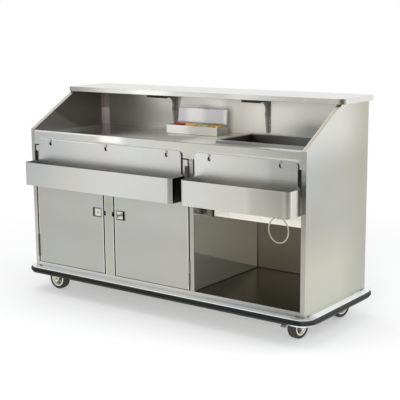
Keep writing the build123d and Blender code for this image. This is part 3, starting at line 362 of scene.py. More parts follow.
def apron_drift(s, base, metal, spread):
    """Apron: a painted reflection, paler toward the right end, with a painted highlight on the lip.

    It is more matt along the tops of the rail plates, and has a painted bright line along its own top at the
    left."""
    x, y, z = s.axes()
    plate_top = LONG_RAIL_HIGH.z
    base = s.mix(s.ease(x, -0.1, 0.2), base, (0.60, 0.60, 0.56))
    base = s.mix(s.ease(x, 0.3, 0.7), base, (0.67, 0.67, 0.625))
    shine = s.times(s.ease(x, -0.44, -0.35), s.ease(x, -0.18, -0.28))
    shine = s.times(shine, s.ease(z, plate_top - 0.005, plate_top + 0.015))
    base = s.mix(shine, base, (0.92, 0.92, 0.90))
    rim = s.times(s.span(z, APRON_TOP - 0.010, APRON_TOP - 0.006), s.ease(x, -0.34, -0.44))
    base = s.mix(rim, base, (0.86, 0.86, 0.83))
    seat = s.times(s.span(z, plate_top + 0.011, plate_top + 0.004), s.span(y, FRONT + 0.003, FRONT + 0.001))
    seat = s.times(seat, s.span(z, plate_top - 0.012, plate_top - 0.008))
    seat = s.times(seat, s.most(along_plate(s, x, "long_speed_rail"), along_plate(s, x, "short_speed_rail")))
    base = s.mix(seat, base, (0.50, 0.50, 0.48))
    return base, s.more(metal, seat, -0.7), spread


def rail_drift(s, base, metal, spread):
    """Speed rails: the short rail has a painted reflection, darker toward its right end, and the troughs are
    more matt and painted lighter inside.

    The long rail's right end, in the gap between the troughs, has painted shade, and its plate a painted
    highlight along its top edge at the left."""
    x, _, z = s.axes()
    end = LONG_RAIL_HIGH.x
    plate = s.mix(s.span(x, 0.71, 0.745), (0.73, 0.735, 0.72), (0.63, 0.635, 0.61))
    trough = s.mix(s.span(x, 0.665, 0.70), (0.66, 0.665, 0.655), (0.57, 0.565, 0.535))
    trough = s.mix(s.span(x, 0.70, 0.86), trough, (0.47, 0.46, 0.415))
    trough = s.mix(s.span(x, 0.865, 0.895), trough, (0.64, 0.635, 0.60))
    short = s.mix(s.span(z, 0.79, 0.82), trough, plate)
    base = s.mix(s.span(x, end - 0.002, end + 0.048), base, short)
    base = s.mix(s.within((end - 0.002, None, None), (end + 0.001, None, 0.81)), base, (0.05, 0.05, 0.045))
    head = s.span(z, LONG_RAIL_HIGH.z - 0.006, LONG_RAIL_HIGH.z - 0.0035)
    base = s.mix(s.times(head, s.ease(x, -0.36, -0.46)), base, (0.82, 0.825, 0.81))
    inner = s.span(s.normal_axes()[1], 0.7, 0.9)
    base = s.mix(inner, base, (0.9, 0.9, 0.88))
    return base, s.more(metal, inner, -0.45), spread


EDGE_IN = 0.0006  # how far the dark of a gap reaches into a door's edge
DOOR_EDGES = (
    LEFT_DOOR_LOW.x + EDGE_IN, LEFT_DOOR_HIGH.x - EDGE_IN, STILE_LOW.x, STILE_HIGH.x,
    RIGHT_DOOR_LOW.x + EDGE_IN, RIGHT_DOOR_HIGH.x - EDGE_IN,
)


def door_drift(s, base, metal, spread):
    """Doors and the stile between them: painted light toward the head, and painted highlights on the rolled
    edges.
    """
    x, y, z = s.axes()
    front = s.span(y, FRONT_SKIN, GAP_FRONT)
    half = (STILE_HIGH.x - STILE_LOW.x) / 2
    off = s.off(x, STILE_LOW.x + half)
    pale = s.times(s.ease(z, 0.40, 0.62), s.span(off, half + 0.001, half + 0.003), front)
    base = s.mix(pale, base, (0.58, 0.58, 0.55))
    stile = s.times(s.ease(z, 0.56, 0.70), s.span(off, half + 0.003, half + 0.001), front)
    base = s.mix(stile, base, (0.60, 0.595, 0.53))
    bright = s.most(*(s.span(s.off(x, edge), 0.0045, 0.003) for edge in DOOR_EDGES))
    return s.mix(s.times(bright, front), base, (0.76, 0.76, 0.72)), metal, spread


def deck_drift(s, base, metal, spread):
    """Deck's front sill: darker toward the right end."""
    x, y, _ = s.axes()
    darker = s.times(s.span(x, 0.15, 0.85), s.span(y, FRONT + 0.007, FRONT))
    return s.mix(darker, base, (0.34, 0.34, 0.32)), metal, spread


def shelf_drift(s, base, metal, spread):
    """Shelf's front lip: painted reflections, darker at the left end and brighter beside it and along the
    right half.

    Its right front corner has a dark painted reflection, and its right end is painted pale."""
    x = s.axes()[0]
    base = s.mix(s.ease(x, -0.56, -0.90), base, (0.37, 0.37, 0.355))
    shine = s.times(s.ease(x, -0.52, -0.36), s.ease(x, -0.10, -0.24))
    base = s.mix(s.most(shine, s.ease(x, 0.18, 0.36)), base, (0.92, 0.92, 0.885))
    turned = s.normal_axes()[0]
    corner = s.times(s.span(turned, 0.2, 0.4), s.span(turned, 0.9, 0.7))
    base = s.mix(corner, base, (0.48, 0.42, 0.37))
    return s.mix(s.span(turned, 0.9, 0.97), base, (0.72, 0.715, 0.69)), metal, spread


def lid_drift(s, base, metal, spread):
    """Lid: two painted bright reflections inside, and an outer side painted paler and more matt, behind it
    while it stands open.
    """
    x = s.axes()[0]
    shine = s.times(s.ease(x, -0.19, -0.13), s.ease(x, 0.0, -0.08))
    base = s.mix(s.most(shine, s.ease(x, 0.08, 0.115)), base, (0.84, 0.83, 0.84))
    outer = s.span(s.normal_axes()[1], 0.7, 0.9)
    return s.mix(outer, base, (0.95, 0.95, 0.95)), s.more(metal, outer, -0.6), spread


def tray_drift(s, base, metal, spread):
    """Tray: more matt at the left of its front and behind, and painted shade on its right end."""
    nx, ny, _ = s.normal_axes()
    left = s.times(s.ease(s.axes()[0], -0.03, -0.13), s.span(ny, -0.8, -0.95))
    matt = s.most(s.times(left, 0.55), s.span(ny, 0.7, 0.9, 0.0, 0.6))
    base = s.mix(s.span(nx, 0.7, 0.9), base, (0.50, 0.50, 0.505))
    return base, s.math("SUBTRACT", metal, matt), spread


def bin_drift(s, base, metal, spread):
    """Ice bin: painted shade at the left of its collar and in its well, a paler painted tip at the collar's
    left top, and a matt collar front painted darker toward its left.
    """
    x, y, z = s.axes()
    collar = (COLLAR_TOP - 0.008, COLLAR_TOP - 0.004)
    base = s.mix(s.ease(x, 0.60, 0.46), base, (0.35, 0.35, 0.34))
    tip = s.times(s.ease(x, 0.35, 0.28), s.span(z, *collar))
    base = s.mix(tip, base, (0.68, 0.675, 0.64))
    front = s.span(y, BIN_FRONT + 0.0015, BIN_FRONT + 0.0005)
    front = s.times(front, s.span(s.normal_axes()[1], -0.8, -0.95))
    face = s.mix(s.ease(x, 0.36, 0.29), (0.24, 0.235, 0.23), (0.46, 0.455, 0.43))
    base = s.mix(front, base, face)
    well = s.times(s.ease(x, 0.62, 0.34), s.span(z, *collar[::-1]))
    return s.mix(well, base, (0.19, 0.188, 0.18)), s.more(metal, front, -0.65), spread


def lip_drift(s, base, metal, spread):
    """Bumper channel: painted light, and more matt, on top along the ends, and painted shade at the right
    front corner.
    """
    x, y, z = s.axes()
    end = s.times(s.span(s.off(x), END_OUT - 0.008, END_OUT), s.span(z, STRIP_TOP - 0.002, STRIP_TOP))
    end = s.times(end, s.ease(y, -0.27, -0.19))
    base = s.mix(end, base, (0.97, 0.975, 0.97))
    corner = s.times(s.ease(x, 0.84, 0.90), s.ease(y, -0.20, -0.28))
    base = s.mix(corner, base, (0.63, 0.635, 0.63))
    return base, s.more(metal, end, -0.4), spread


# Paint, plastic and rubber
def coated(
    name, colour, rough, grit=900.0, depth=0.00005, vary=0.15, edge=0.0008, coat=0.0, gloss=0.5, zones=(),
    ball=None,
):
    """Paint, plastic or rubber: fine texture, slight colour drift and soft edges.

    zones are tinted boxes, here painted shade and light; ball is a centre, radius and colour of painted
    shade."""
    s = Shade(name, colour, rough)
    grain = s.noise(grit, 3.0, 0.6)
    drift = s.noise(14.0, 3.0, 0.55, (0.7, 2.2, 1.1))
    pale = tuple(min(1.0, c * (1 + vary)) for c in colour)
    deep = tuple(c * (1 - vary) for c in colour)
    base = s.mix(s.span(drift, 0.3, 0.7), deep, pale)
    for low, high, tint, *_ in zones:
        base = s.mix(s.within(low, high), base, tint)
    if ball:
        centre, radius, tint = ball
        base = s.mix(s.span(s.away(centre), radius, radius - 0.001), base, tint)
    s.set("Base Color", base)
    s.set("Roughness", s.plus(s.span(grain, 0.3, 0.7, -0.06, 0.06), rough))
    s.set("Coat Weight", coat)
    s.set("Specular IOR Level", gloss)
    s.bump(grain, depth, 0.6, edge)
    return s.mat


# Zones: places that differ on one sheet
OPEN = (None, None)
CABINET_X = (-END_IN - SKIN, END_IN + SKIN)
CABINET_Y = (FRONT_SKIN, BACK_SKIN)
CABINET_Z = (DECK_UNDER - 0.004, TOP_UNDER + 0.0002)
COUNTER_Z = (TOP_UNDER + 0.0002, 1.19)
FRONT_Z = (DECK_UNDER - 0.004, APRON_UNDER)


def zone(tint, x=OPEN, y=OPEN, z=OPEN, rough=0.0, metal=None):
    """A box with a tint, a change of roughness and, where given, a metal share of its own."""
    low, high = zip(x, y, z)
    return low, high, tint, rough, metal


def inside(tint, z=CABINET_Z, rough=0.0, metal=None):
    """The faces inside the cabinet and the bay, or over the counter."""
    return zone(tint, CABINET_X, CABINET_Y, z, rough, metal)


# Inside the cabinet and the bay: a warm painted reflection on the sheets, a paler one on the partition's
# face, and painted shade on the back wall and deck. Over the counter: painted light on the back panel, and
# painted shade on the end panels' inner faces. Each also has its own roughness and metal share.
HOLD = inside((0.60, 0.575, 0.475), rough=0.12, metal=0.72)
PART_HOLD = inside((0.97, 0.955, 0.84), rough=-0.10, metal=0.80)
BACK_HOLD = inside((0.30, 0.272, 0.215), rough=0.06, metal=0.80)
DECK_HOLD = inside((0.24, 0.232, 0.20), rough=-0.04)
BACK_OVER = inside((0.92, 0.92, 0.89), COUNTER_Z, metal=0.82)
END_OVER = inside((0.34, 0.32, 0.305), COUNTER_Z, rough=0.05)

# Painted shade along the corners between the bay's sheets, drawn as dark seams where they meet
WALL_SEAM, FOOT_SEAM, DECK_SEAM = 0.0052, 0.0048, 0.0055
AT_BAY = (BAY - SKIN, BAY + SKIN)
AT_BACK = (BACK - SKIN, BACK + SKIN)
AT_DECK = (DECK - SKIN, DECK + SKIN)
AT_FOOT = (DECK - SKIN, DECK + FOOT_SEAM)
BAY_X = (BAY - SKIN, END_IN + SKIN)
BAY_Y = (FRONT_SKIN, BACK + 0.0002)
BAY_Z = (DECK - SKIN, 0.9)


def seam_shade(x, y, z):
    return zone((0.05, 0.048, 0.04), x, y, z, rough=0.15, metal=0.6)


PART_FOOT = seam_shade(AT_BAY, BAY_Y, AT_FOOT)
PART_BACK = seam_shade(AT_BAY, (BACK - WALL_SEAM, BAY_Y[1]), BAY_Z)
BACK_FOOT = seam_shade(BAY_X, AT_BACK, AT_FOOT)
BACK_END = seam_shade((BAY - SKIN, BAY + WALL_SEAM), AT_BACK, BAY_Z)
DECK_SIDE = seam_shade((BAY - SKIN, BAY + DECK_SEAM), BAY_Y, AT_DECK)
DECK_BACK = seam_shade(BAY_X, (BACK - DECK_SEAM, BAY_Y[1]), AT_DECK)


# Painted shade in the gaps beside the doors and behind the stile's face, and a keyhole painted as a dark disc
# of shade on the paddle
def dark(x, y, z):
    return zone((0.02, 0.019, 0.017), x, y, z, rough=0.2, metal=0.4)


GAP_Y = (GAP_FRONT, -0.25)
KEY_HALF = 0.004
KEY_AT = (PADDLE_LOW + PADDLE_HIGH) / 2
STILE_GAPS = dark((LEFT_DOOR_HIGH.x - EDGE_IN, RIGHT_DOOR_LOW.x + EDGE_IN), GAP_Y, FRONT_Z)
RIGHT_GAP = dark((RIGHT_DOOR_HIGH.x - EDGE_IN, PART_LOW.x + SKIN), GAP_Y, FRONT_Z)
LEFT_GAP = dark((-END_IN - SKIN, LEFT_DOOR_LOW.x + EDGE_IN), GAP_Y, FRONT_Z)
KEYHOLE = dark(
    x=(KEY_AT.x - KEY_HALF, KEY_AT.x + KEY_HALF),
    y=(None, PADDLE_HIGH.y - 0.0002),
    z=(KEY_AT.z - KEY_HALF, KEY_AT.z + KEY_HALF),
)

# Other zones
PART_EDGE = zone(
    (0.43, 0.43, 0.41), x=(PART_LOW.x - SKIN, BAY + SKIN),
    y=(FRONT - SKIN, FRONT + 0.0015), z=FRONT_Z, rough=0.06,
)
STILE_FACE = zone(
    (0.50, 0.495, 0.43), x=(STILE_LOW.x - 0.0025, STILE_HIGH.x + 0.0025),
    y=(FRONT - SKIN, GAP_FRONT), z=FRONT_Z,
)
CHANNEL_UNDER = zone((0.018, 0.019, 0.02), z=(None, STRIP_UNDER + 0.0003), rough=0.1, metal=0.0)
# painted contact shade along the tray's foot
TRAY_FOOT = zone((0.20, 0.20, 0.19), z=(None, TOP + 0.0022), rough=0.1)
POCKET_Y = (FRONT + 0.0022, None)
# painted shade in the latch pockets, and on the left cup
POCKET = zone((0.02, 0.02, 0.018), y=POCKET_Y, rough=0.3, metal=0.3)
CUP_LEFT = zone((0.15, 0.147, 0.13), x=(None, STILE_LOW.x - SKIN), y=POCKET_Y)
# painted shadow of the shelf on the corner posts' heads
POST_HEAD = zone((0.24, 0.21, 0.195), z=(1.06, None))
LOW_HINGE = zone((0.40, 0.39, 0.36), z=(None, 0.36))
LOW_KNUCKLE = zone((0.22, 0.21, 0.185), z=(None, 0.28))
LEFT_HINGE = zone((0.13, 0.125, 0.11), x=(None, -0.8), z=(None, 0.36))
# painted shade on the bracket arms under the shelf, and painted light on the straps below
BRACKET_ARM = zone((0.02, 0.02, 0.019), z=(1.148, None))
BRACKET_STRAP = zone((0.23, 0.228, 0.21), z=(None, 1.066))
# painted shade on the bumper's front face
STRIP_FRONT = zone((0.008, 0.0085, 0.009), x=(None, END_OUT), y=(None, -0.3))
# painted shade on the jacket's head and on its left side
JACKET_HEAD = zone((0.06, 0.058, 0.05), z=(0.72, None))
JACKET_LEFT = zone((0.10, 0.096, 0.083), x=(None, JACKET_LOW.x + 0.0008), y=(JACKET_LOW.y + 0.0015, None))

# Sheet steel and aluminium
front_x = brushed("front_stainless", (0.60, 0.605, 0.585), 0.24, zones=(HOLD,))
apron_x = brushed("apron_stainless", (0.58, 0.585, 0.565), 0.24, zones=(HOLD,), drift=apron_drift)
part_x = brushed(
    "partition_stainless", (0.60, 0.605, 0.585), 0.24, "Y", aniso=0.35, marks=0.0,
    zones=(PART_HOLD, PART_EDGE, PART_FOOT, PART_BACK), drift=part_drift,
)
back_z = brushed(
    "back_stainless", (0.60, 0.60, 0.58), 0.30, "Z",
    zones=(BACK_HOLD, BACK_OVER, BACK_FOOT, BACK_END), drift=back_drift,
)
# up: painted light on the faces that look up
rail_x = brushed("rail_stainless", (0.60, 0.605, 0.60), 0.23, up=(0.95, 0.95, 0.94), drift=rail_drift)
side_z = brushed(
    "side_stainless", (0.55, 0.55, 0.52), 0.30, "Z", edge=0.003,
    zones=(HOLD, END_OVER, LEFT_GAP), slope=slope_tint, drift=side_drift,
)
door_z = brushed(
    "door_stainless", (0.48, 0.48, 0.45), 0.32, "Z", edge=0.002,
    zones=(HOLD, STILE_GAPS, RIGHT_GAP, STILE_FACE), drift=door_drift,
)
post_z = brushed("post_stainless", (0.48, 0.425, 0.44), 0.40, "Z", metal=0.35, zones=(POST_HEAD,))
top_x = brushed("worktop_stainless", (0.76, 0.755, 0.715), 0.36, aniso=0.9, streak=0.02, drift=top_drift)
# up: painted light on the shelf's top
shelf_x = brushed(
    "shelf_stainless", (0.70, 0.70, 0.675), 0.24, warm=0.015, streak=0.012, edge=0.003,
    up=(0.95, 0.955, 0.95), drift=shelf_drift,
)
deck_x = brushed(
    "deck_stainless", (0.60, 0.60, 0.58), 0.26, streak=0.008, marks=0.0,
    zones=(DECK_HOLD, DECK_SIDE, DECK_BACK), drift=deck_drift,
)
bin_x = brushed("bin_stainless", (0.42, 0.42, 0.41), 0.36, drift=bin_drift)
tray_x = brushed(
    "tray_stainless", (0.94, 0.91, 0.90), 0.38, aniso=0.0, warm=0.02, streak=0.012, edge=0.0025,
    zones=(TRAY_FOOT,), drift=tray_drift,
)
lid_x = brushed(
    "lid_stainless", (0.63, 0.62, 0.64), 0.26, aniso=0.5, warm=0.02, streak=0.012, edge=0.0025,
    drift=lid_drift,
)
extrusion = brushed(
    "extruded_aluminium", (0.86, 0.865, 0.87), 0.38, aniso=0.3, warm=0.02, streak=0.01, edge=0.0015,
    metal=0.5, zones=(CHANNEL_UNDER,), drift=lip_drift,
)


# Small metal parts
def plated(name, colour, rough, warm, edge=0.0006, aniso=0.0, zones=()):
    """Zinc, brass and plain steel, with a strong streak."""
    return brushed(name, colour, rough, "Z", aniso, warm, streak=0.05, edge=edge, zones=zones)


def polished(name, colour, rough, metal=1.0, zones=()):
    """Chrome and wire."""
    return brushed(
        name, colour, rough, aniso=0.0, warm=0.03, streak=0.02, edge=0.0008, metal=metal, zones=zones
    )


zinc = plated("zinc_plate", (0.50, 0.50, 0.47), 0.34, warm=0.08)
fork_zinc = plated("fork_zinc", (0.86, 0.86, 0.83), 0.30, warm=0.05, edge=0.0008)
hinge_steel = plated(
    "hinge_steel", (0.20, 0.195, 0.18), 0.40, warm=0.05, aniso=0.3, zones=(LOW_HINGE, LOW_KNUCKLE, LEFT_HINGE)
)
brass = plated("valve_brass", (0.62, 0.45, 0.19), 0.32, warm=0.06)
chrome = polished("chrome_plate", (0.66, 0.64, 0.57), 0.18, zones=(POCKET, KEYHOLE))
cup_chrome = polished("cup_chrome", (0.42, 0.41, 0.365), 0.22, zones=(POCKET, CUP_LEFT))
ring_wire = polished("ring_wire", (0.37, 0.355, 0.29), 0.30, metal=0.5)

# Coats, plastic and rubber
black_steel = coated(
    "bracket_powder_coat", (0.15, 0.147, 0.13), 0.42, grit=1400.0, depth=0.00008, vary=0.18,
    zones=(BRACKET_ARM, BRACKET_STRAP),
)
black_plastic = coated("black_plastic", (0.022, 0.022, 0.022), 0.5, grit=1100.0, depth=0.0001)
vinyl = coated(
    "bumper_vinyl", (0.026, 0.027, 0.028), 0.48, grit=700.0, depth=0.00006, vary=0.18, gloss=0.3,
    zones=(STRIP_FRONT,),
)
cream = coated(
    "cream_plastic", (0.72, 0.705, 0.63), 0.38, grit=500.0, vary=0.03, zones=(JACKET_HEAD, JACKET_LEFT)
)
lever_red = coated("lever_coat", (0.42, 0.035, 0.03), 0.35, coat=0.3)
rubber = coated("tyre_rubber", (0.022, 0.022, 0.021), 0.62, grit=520.0, depth=0.00018, vary=0.3)


def rim_coat(spot):
    """Cream wheel: a pale rim round a shaded dish."""
    low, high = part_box("wheel_" + spot)
    dish = ((low + high) / 2, (high.z - low.z) / 2 - 0.006, (0.16, 0.155, 0.115))
    return coated("rim_coat_" + spot, (0.74, 0.73, 0.60), 0.42, depth=0.00006, vary=0.12, ball=dish)


def paint(names, mat):
    for name in names.split():
        for slot in nodes[name].material_slots:
            slot.material = mat


paint("side_panel_right side_panel_left", side_z)
paint("back_panel", back_z)
paint("header_panels", front_x)
paint("apron", apron_x)
paint("partition", part_x)
paint("long_speed_rail short_speed_rail", rail_x)
paint("door_left door_right centre_stile", door_z)
paint("corner_posts", post_z)
paint("bar_shelf", shelf_x)
paint("worktop", top_x)
paint("base_deck", deck_x)
paint("ice_bin_liner", bin_x)
paint("tray_box tray_inserts", tray_x)
paint("tray_lid", lid_x)
paint("bumper_channel", extrusion)
paint("bumper_strip", vinyl)
paint("shelf_brackets", black_steel)
paint("partition_block", black_plastic)
paint("ice_bin_jacket", cream)
paint("drain_valve", brass)
paint("drain_lever", lever_red)
paint("caster_rails caster_plates caster_bolts rail_studs lock_key pedal_front_left pedal_front_right", zinc)
paint("pan_screws", fork_zinc)
paint("frame_hinges door_hinges_left door_hinges_right latch_bolt_left latch_bolt_right", hinge_steel)
paint("latch_cup_left latch_cup_right", cup_chrome)
paint("latch_paddle_left latch_paddle_right", chrome)
paint("towel_ring", ring_wire)
for spot in ("front_left", "front_right", "rear_left", "rear_right"):
    paint("fork_" + spot, fork_zinc)
    paint("axle_" + spot, zinc)
    paint("wheel_" + spot, rim_coat(spot))
    paint("tyre_" + spot, rubber)

# Garnish in the tray's four inserts, from left to right: cherries, orange, lime and lemon
rng = random.Random(11)
INSERTS_LOW, INSERTS_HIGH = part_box("tray_inserts")
INSERT_WALL, INSERT_GAP = 0.0015, 0.0003
PAN_W = (INSERTS_HIGH.x - INSERTS_LOW.x - 8 * INSERT_WALL - 3 * INSERT_GAP) / 4
PAN_STEP = PAN_W + 2 * INSERT_WALL + INSERT_GAP
PAN_LEFTS = [INSERTS_LOW.x + INSERT_WALL + PAN_STEP * i for i in range(4)]
PANS = [(round(left, 4), round(left + PAN_W, 4)) for left in PAN_LEFTS]
PAN_Y = (round(INSERTS_LOW.y + INSERT_WALL, 4), round(INSERTS_HIGH.y - INSERT_WALL, 4))
BED_UNDER = round(INSERTS_LOW.z + 0.003, 4)
BED_CLEAR = 0.0012


def fruit(name, flesh, pith, rind, segments=0, rough=0.38, coat=0.08):
    """Cut fruit. The cut attribute is the place on a slice, 1 at the rind; its z is 1 with no segments."""
    s = Shade(name, flesh, rough)
    x, y, whole = s.split(s.new("Attribute", attribute_name="cut").outputs["Vector"])
    reach = s.math("POWER", s.plus(s.times(x, x), s.times(y, y)), 0.5)
    pulp = s.noise(420.0, 4.0, 0.6)
    drift = s.noise(60.0, 2.0, 0.5, (0.2, 0.6, 0.9))
    pale = tuple(min(1.0, c * 1.25 + 0.04) for c in flesh)
    deep = tuple(c * 0.72 for c in flesh)
    grain = s.plus(s.times(pulp, 0.6), s.times(drift, 0.4))
    colour = s.mix(s.span(grain, 0.35, 0.65), deep, pale)
    if segments:
        part = s.math("FRACT", s.times(s.math("ARCTAN2", y, x), segments / math.tau))
        line = s.span(s.off(part, 0.5), 0.40, 0.49)
        core = s.span(reach, 0.16, 0.08)
        skin = s.times(s.most(line, core), s.math("SUBTRACT", 1.0, whole), 0.8)
        colour = s.mix(skin, colour, pith)
    colour = s.mix(s.span(reach, 0.83, 0.88), colour, pith)
    dark_rind = tuple(c * 0.8 for c in rind)
    light_rind = tuple(min(1.0, c * 1.15) for c in rind)
    peel = s.mix(s.span(drift, 0.35, 0.65), dark_rind, light_rind)
    s.set("Base Color", s.mix(s.span(reach, 0.91, 0.95), colour, peel))
    s.set("Coat Weight", coat)
    s.bump(pulp, 0.0006, 0.5)
    return s.mat


def garnish(name, mat, parts):
    """One piece of many parts, each of points, faces and cut values, riding on the tray."""
    points = []
    faces = []
    cuts = []
    for part_points, part_faces, part_cuts in parts:
        faces += [[i + len(points) for i in face] for face in part_faces]
        points += part_points
        cuts += part_cuts
    mesh = bpy.data.meshes.new(name)
    mesh.from_pydata(points, [], faces)
    layer = mesh.attributes.new("cut", "FLOAT_VECTOR", "POINT")
    layer.data.foreach_set("vector", [v for cut in cuts for v in cut])
    for face in mesh.polygons:
        face.use_smooth = True
    mesh.materials.append(mat)
    piece = bpy.data.objects.new(name, mesh)
    scene.collection.objects.link(piece)
    bm = bmesh.new()
    bm.from_mesh(mesh)
    bmesh.ops.recalc_face_normals(bm, faces=bm.faces)
    bm.to_mesh(mesh)
    bm.free()
    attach(piece, "tray")


def grid(rows, cols, closed=False, start=0):
    """Faces of a grid of points, row by row; closed joins the last column to the first."""
    faces = []
    for j in range(rows - 1):
        for i in range(cols if closed else cols - 1):
            a = start + j * cols + i
            b = start + j * cols + (i + 1) % cols
            faces.append([a, b, b + cols, a + cols])
    return faces


def placed(base, lean, spin):
    """A piece's turn and place; lean is how far its face tips toward the operator."""
    return Matrix.Translation(base) @ Matrix.Rotation(spin, 4, "Z") @ Matrix.Rotation(lean, 4, "X")


def bed(pan, top, bumps):
    """The lower fill of an insert: a closed lumpy slab."""
    x0, x1 = pan[0] + BED_CLEAR, pan[1] - BED_CLEAR
    y0, y1 = PAN_Y[0] + BED_CLEAR, PAN_Y[1] - BED_CLEAR
    cols, rows = 15, 17
    points = []
    for j in range(rows):
        for i in range(cols):
            z = top - 0.004 * rng.random() - bumps * (0.5 + 0.5 * math.sin(i * 1.9) * math.cos(j * 1.7))
            points.append((x0 + (x1 - x0) * i / (cols - 1), y0 + (y1 - y0) * j / (rows - 1), z))
    faces = grid(rows, cols)
    rim = list(range(cols)) + [j * cols + cols - 1 for j in range(1, rows)]
    rim += [(rows - 1) * cols + i for i in range(cols - 2, -1, -1)]
    rim += [j * cols for j in range(rows - 2, 0, -1)]
    low = len(points)
    points += [(points[i][0], points[i][1], BED_UNDER) for i in rim]
    for k in range(len(rim)):
        q = (k + 1) % len(rim)
        faces.append([rim[q], rim[k], low + k, low + q])
    faces.append([low + k for k in range(len(rim) - 1, -1, -1)])
    return points, faces, [(0.3 + 0.4 * rng.random(), 0.1, 1.0) for _ in points]


def cherry(centre, radius):
    """A round fruit with a stem dimple, turned at random."""
    turn = Matrix.Rotation(rng.uniform(0, math.tau), 4, "Z") @ Matrix.Rotation(rng.uniform(0, 2.4), 4, "X")
    around, rows = 18, 11
    points = []
    for j in range(rows):
        lat = math.pi * j / (rows - 1)
        dimple = 0.34 * math.exp(-((lat / 0.34) ** 2))
        for i in range(around):
            lon = math.tau * i / around
            r = radius * (1.0 - dimple + 0.015 * math.sin(3 * lon) * math.sin(lat))
            flat = r * math.sin(lat)
            v = Vector((flat * math.cos(lon), flat * math.sin(lon), 0.94 * r * math.cos(lat)))
            points.append(tuple(turn @ v + Vector(centre)))
    return points, grid(rows, around, closed=True), [(0.3, 0.0, 1.0)] * len(points)


# Radius and thickness of a slice's rings, as shares of the whole
RINGS = ((0.0, 1.0), (0.3, 1.0), (0.55, 1.0), (0.75, 1.0), (0.88, 1.0), (0.95, 0.92), (1.0, 0.45))


def slice_of(base, lean, spin, radius, thick, half):
    """A round or half slice with a soft rim."""
    around = 17 if half else 30
    sweep = math.pi if half else math.tau
    last = around - 1 if half else around
    turn = placed(base, lean, spin)
    points = []
    cuts = []
    for side in (1, -1):
        for r, h in RINGS:
            for i in range(around):
                a = sweep * i / last
                wave = thick * 0.5 * h * side + 0.0006 * math.sin(5 * a + base[0] * 900) * r
                v = Vector((radius * r * math.cos(a), radius * r * math.sin(a), wave))
                points.append(tuple(turn @ v))
                cuts.append((r * math.cos(a), r * math.sin(a), 0.0))
    count = len(RINGS) * around
    faces = grid(len(RINGS), around, not half)
    faces += [face[::-1] for face in grid(len(RINGS), around, not half, count)]
    edge = count - around
    for i in range(last):
        q = (i + 1) % around
        faces.append([edge + i, edge + q, count + edge + q, count + edge + i])
    if half:
        for col in (0, around - 1):
            for j in range(len(RINGS) - 1):
                a, b = j * around + col, (j + 1) * around + col
                faces.append([a, b, count + b, count + a])
    return points, faces, cuts


def wedge_of(base, lean, spin, length, radius, width):
    """A wedge of a pointed fruit: two cut faces that meet at the core, and the rind outside."""
    turn = placed(base, lean, spin)
    steps, across, deep = 13, 9, 5
    points = []
    cuts = []
    for j in range(steps):
        t = -1 + 2 * j / (steps - 1)
        r = radius * max(0.03, (1 - abs(t) ** 2.2)) ** 0.55
        for i in range(across):
            a = math.pi / 2 + width * (i / (across - 1) - 0.5)
            points.append(tuple(turn @ Vector((t * length / 2, r * math.cos(a), r * math.sin(a)))))
            cuts.append((1.0, 0.0, 1.0))
        for i in range(1, deep + 1):
            k = 1 - i / deep
            for way in (-1, 1):
                a = math.pi / 2 + way * width / 2
                v = Vector((t * length / 2, r * k * math.cos(a), r * k * math.sin(a)))
                points.append(tuple(turn @ v))
                cuts.append((k, 0.0, 1.0))
    row = across + 2 * deep
    left = [0] + [across + 2 * i for i in range(deep)]
    right = [across - 1] + [across + 2 * i + 1 for i in range(deep)]
    faces = []
    for j in range(steps - 1):
        for line in (list(range(across)), left[::-1], right):
            for a, b in zip(line[:-1], line[1:]):
                faces.append([j * row + a, j * row + b, (j + 1) * row + b, (j + 1) * row + a])
    return points, faces, cuts


RISE_Y, RISE_RUN = 0.128, 0.022  # where the fill starts to rise toward the back, and over what distance


def heap(y, fill):
    """Height of the fill: low along the front, where the shut lid's lip comes down, and high behind it."""
    low, high = fill
    t = min(1.0, max(0.0, (y - RISE_Y) / RISE_RUN))
    return low + (high - low) * t * t * (3 - 2 * t)


def two_rows(pan, inset, slack, first, step, count, behind, fill, lean, tip, twist):
    """Base, lean and spin of pieces in two rows, front to back, each a little out of place.

    inset is a row's distance from the insert's side, as a share of its width; behind is how far back of
    a piece's base the fill's height is taken."""
    for share in (inset, 1 - inset):
        for j in range(count):
            x = pan[0] + (pan[1] - pan[0]) * share + rng.uniform(-slack, slack)
            y = first + step * j
            base = (x, y, heap(y + behind, fill))
            leaning = lean + rng.uniform(-tip, tip)
            yield base, leaning, rng.uniform(-twist, twist)


RED = (0.45, 0.004, 0.008)
cherry_red = fruit("cherry_red", RED, RED, RED, rough=0.28, coat=0.12)
orange_cut = fruit("orange_cut", (0.86, 0.36, 0.02), (0.92, 0.62, 0.20), (0.84, 0.28, 0.008), segments=10)
lime_cut = fruit("lime_cut", (0.52, 0.58, 0.16), (0.84, 0.86, 0.52), (0.035, 0.12, 0.006), segments=9)
lemon_cut = fruit("lemon_cut", (0.88, 0.68, 0.16), (0.94, 0.86, 0.52), (0.78, 0.44, 0.03), segments=9)

CHERRY_R = 0.0103
CHERRY_STEP_X, CHERRY_STEP_Y = 0.0208, 0.0192
CHERRY_SLACK = 0.0008
CHERRY_LAYERS = ((4, 5, (0.9855, 0.991)), (3, 4, (0.9972, 1.0036)))
HEAP_X, HEAP_Y = PANS[0][0] + 0.0425, sum(PAN_Y) / 2
cherries = [bed(PANS[0], 0.990, 0.004)]
for cols, rows, fill in CHERRY_LAYERS:
    for i in range(cols):
        for j in range(rows):
            x = HEAP_X + (i - (cols - 1) / 2) * CHERRY_STEP_X + rng.uniform(-CHERRY_SLACK, CHERRY_SLACK)
            y = HEAP_Y + (j - (rows - 1) / 2) * CHERRY_STEP_Y + rng.uniform(-CHERRY_SLACK, CHERRY_SLACK)
            cherries.append(cherry((x, y, heap(y, fill) + rng.uniform(-0.0012, 0.0004)), CHERRY_R))
garnish("garnish_cherries", cherry_red, cherries)

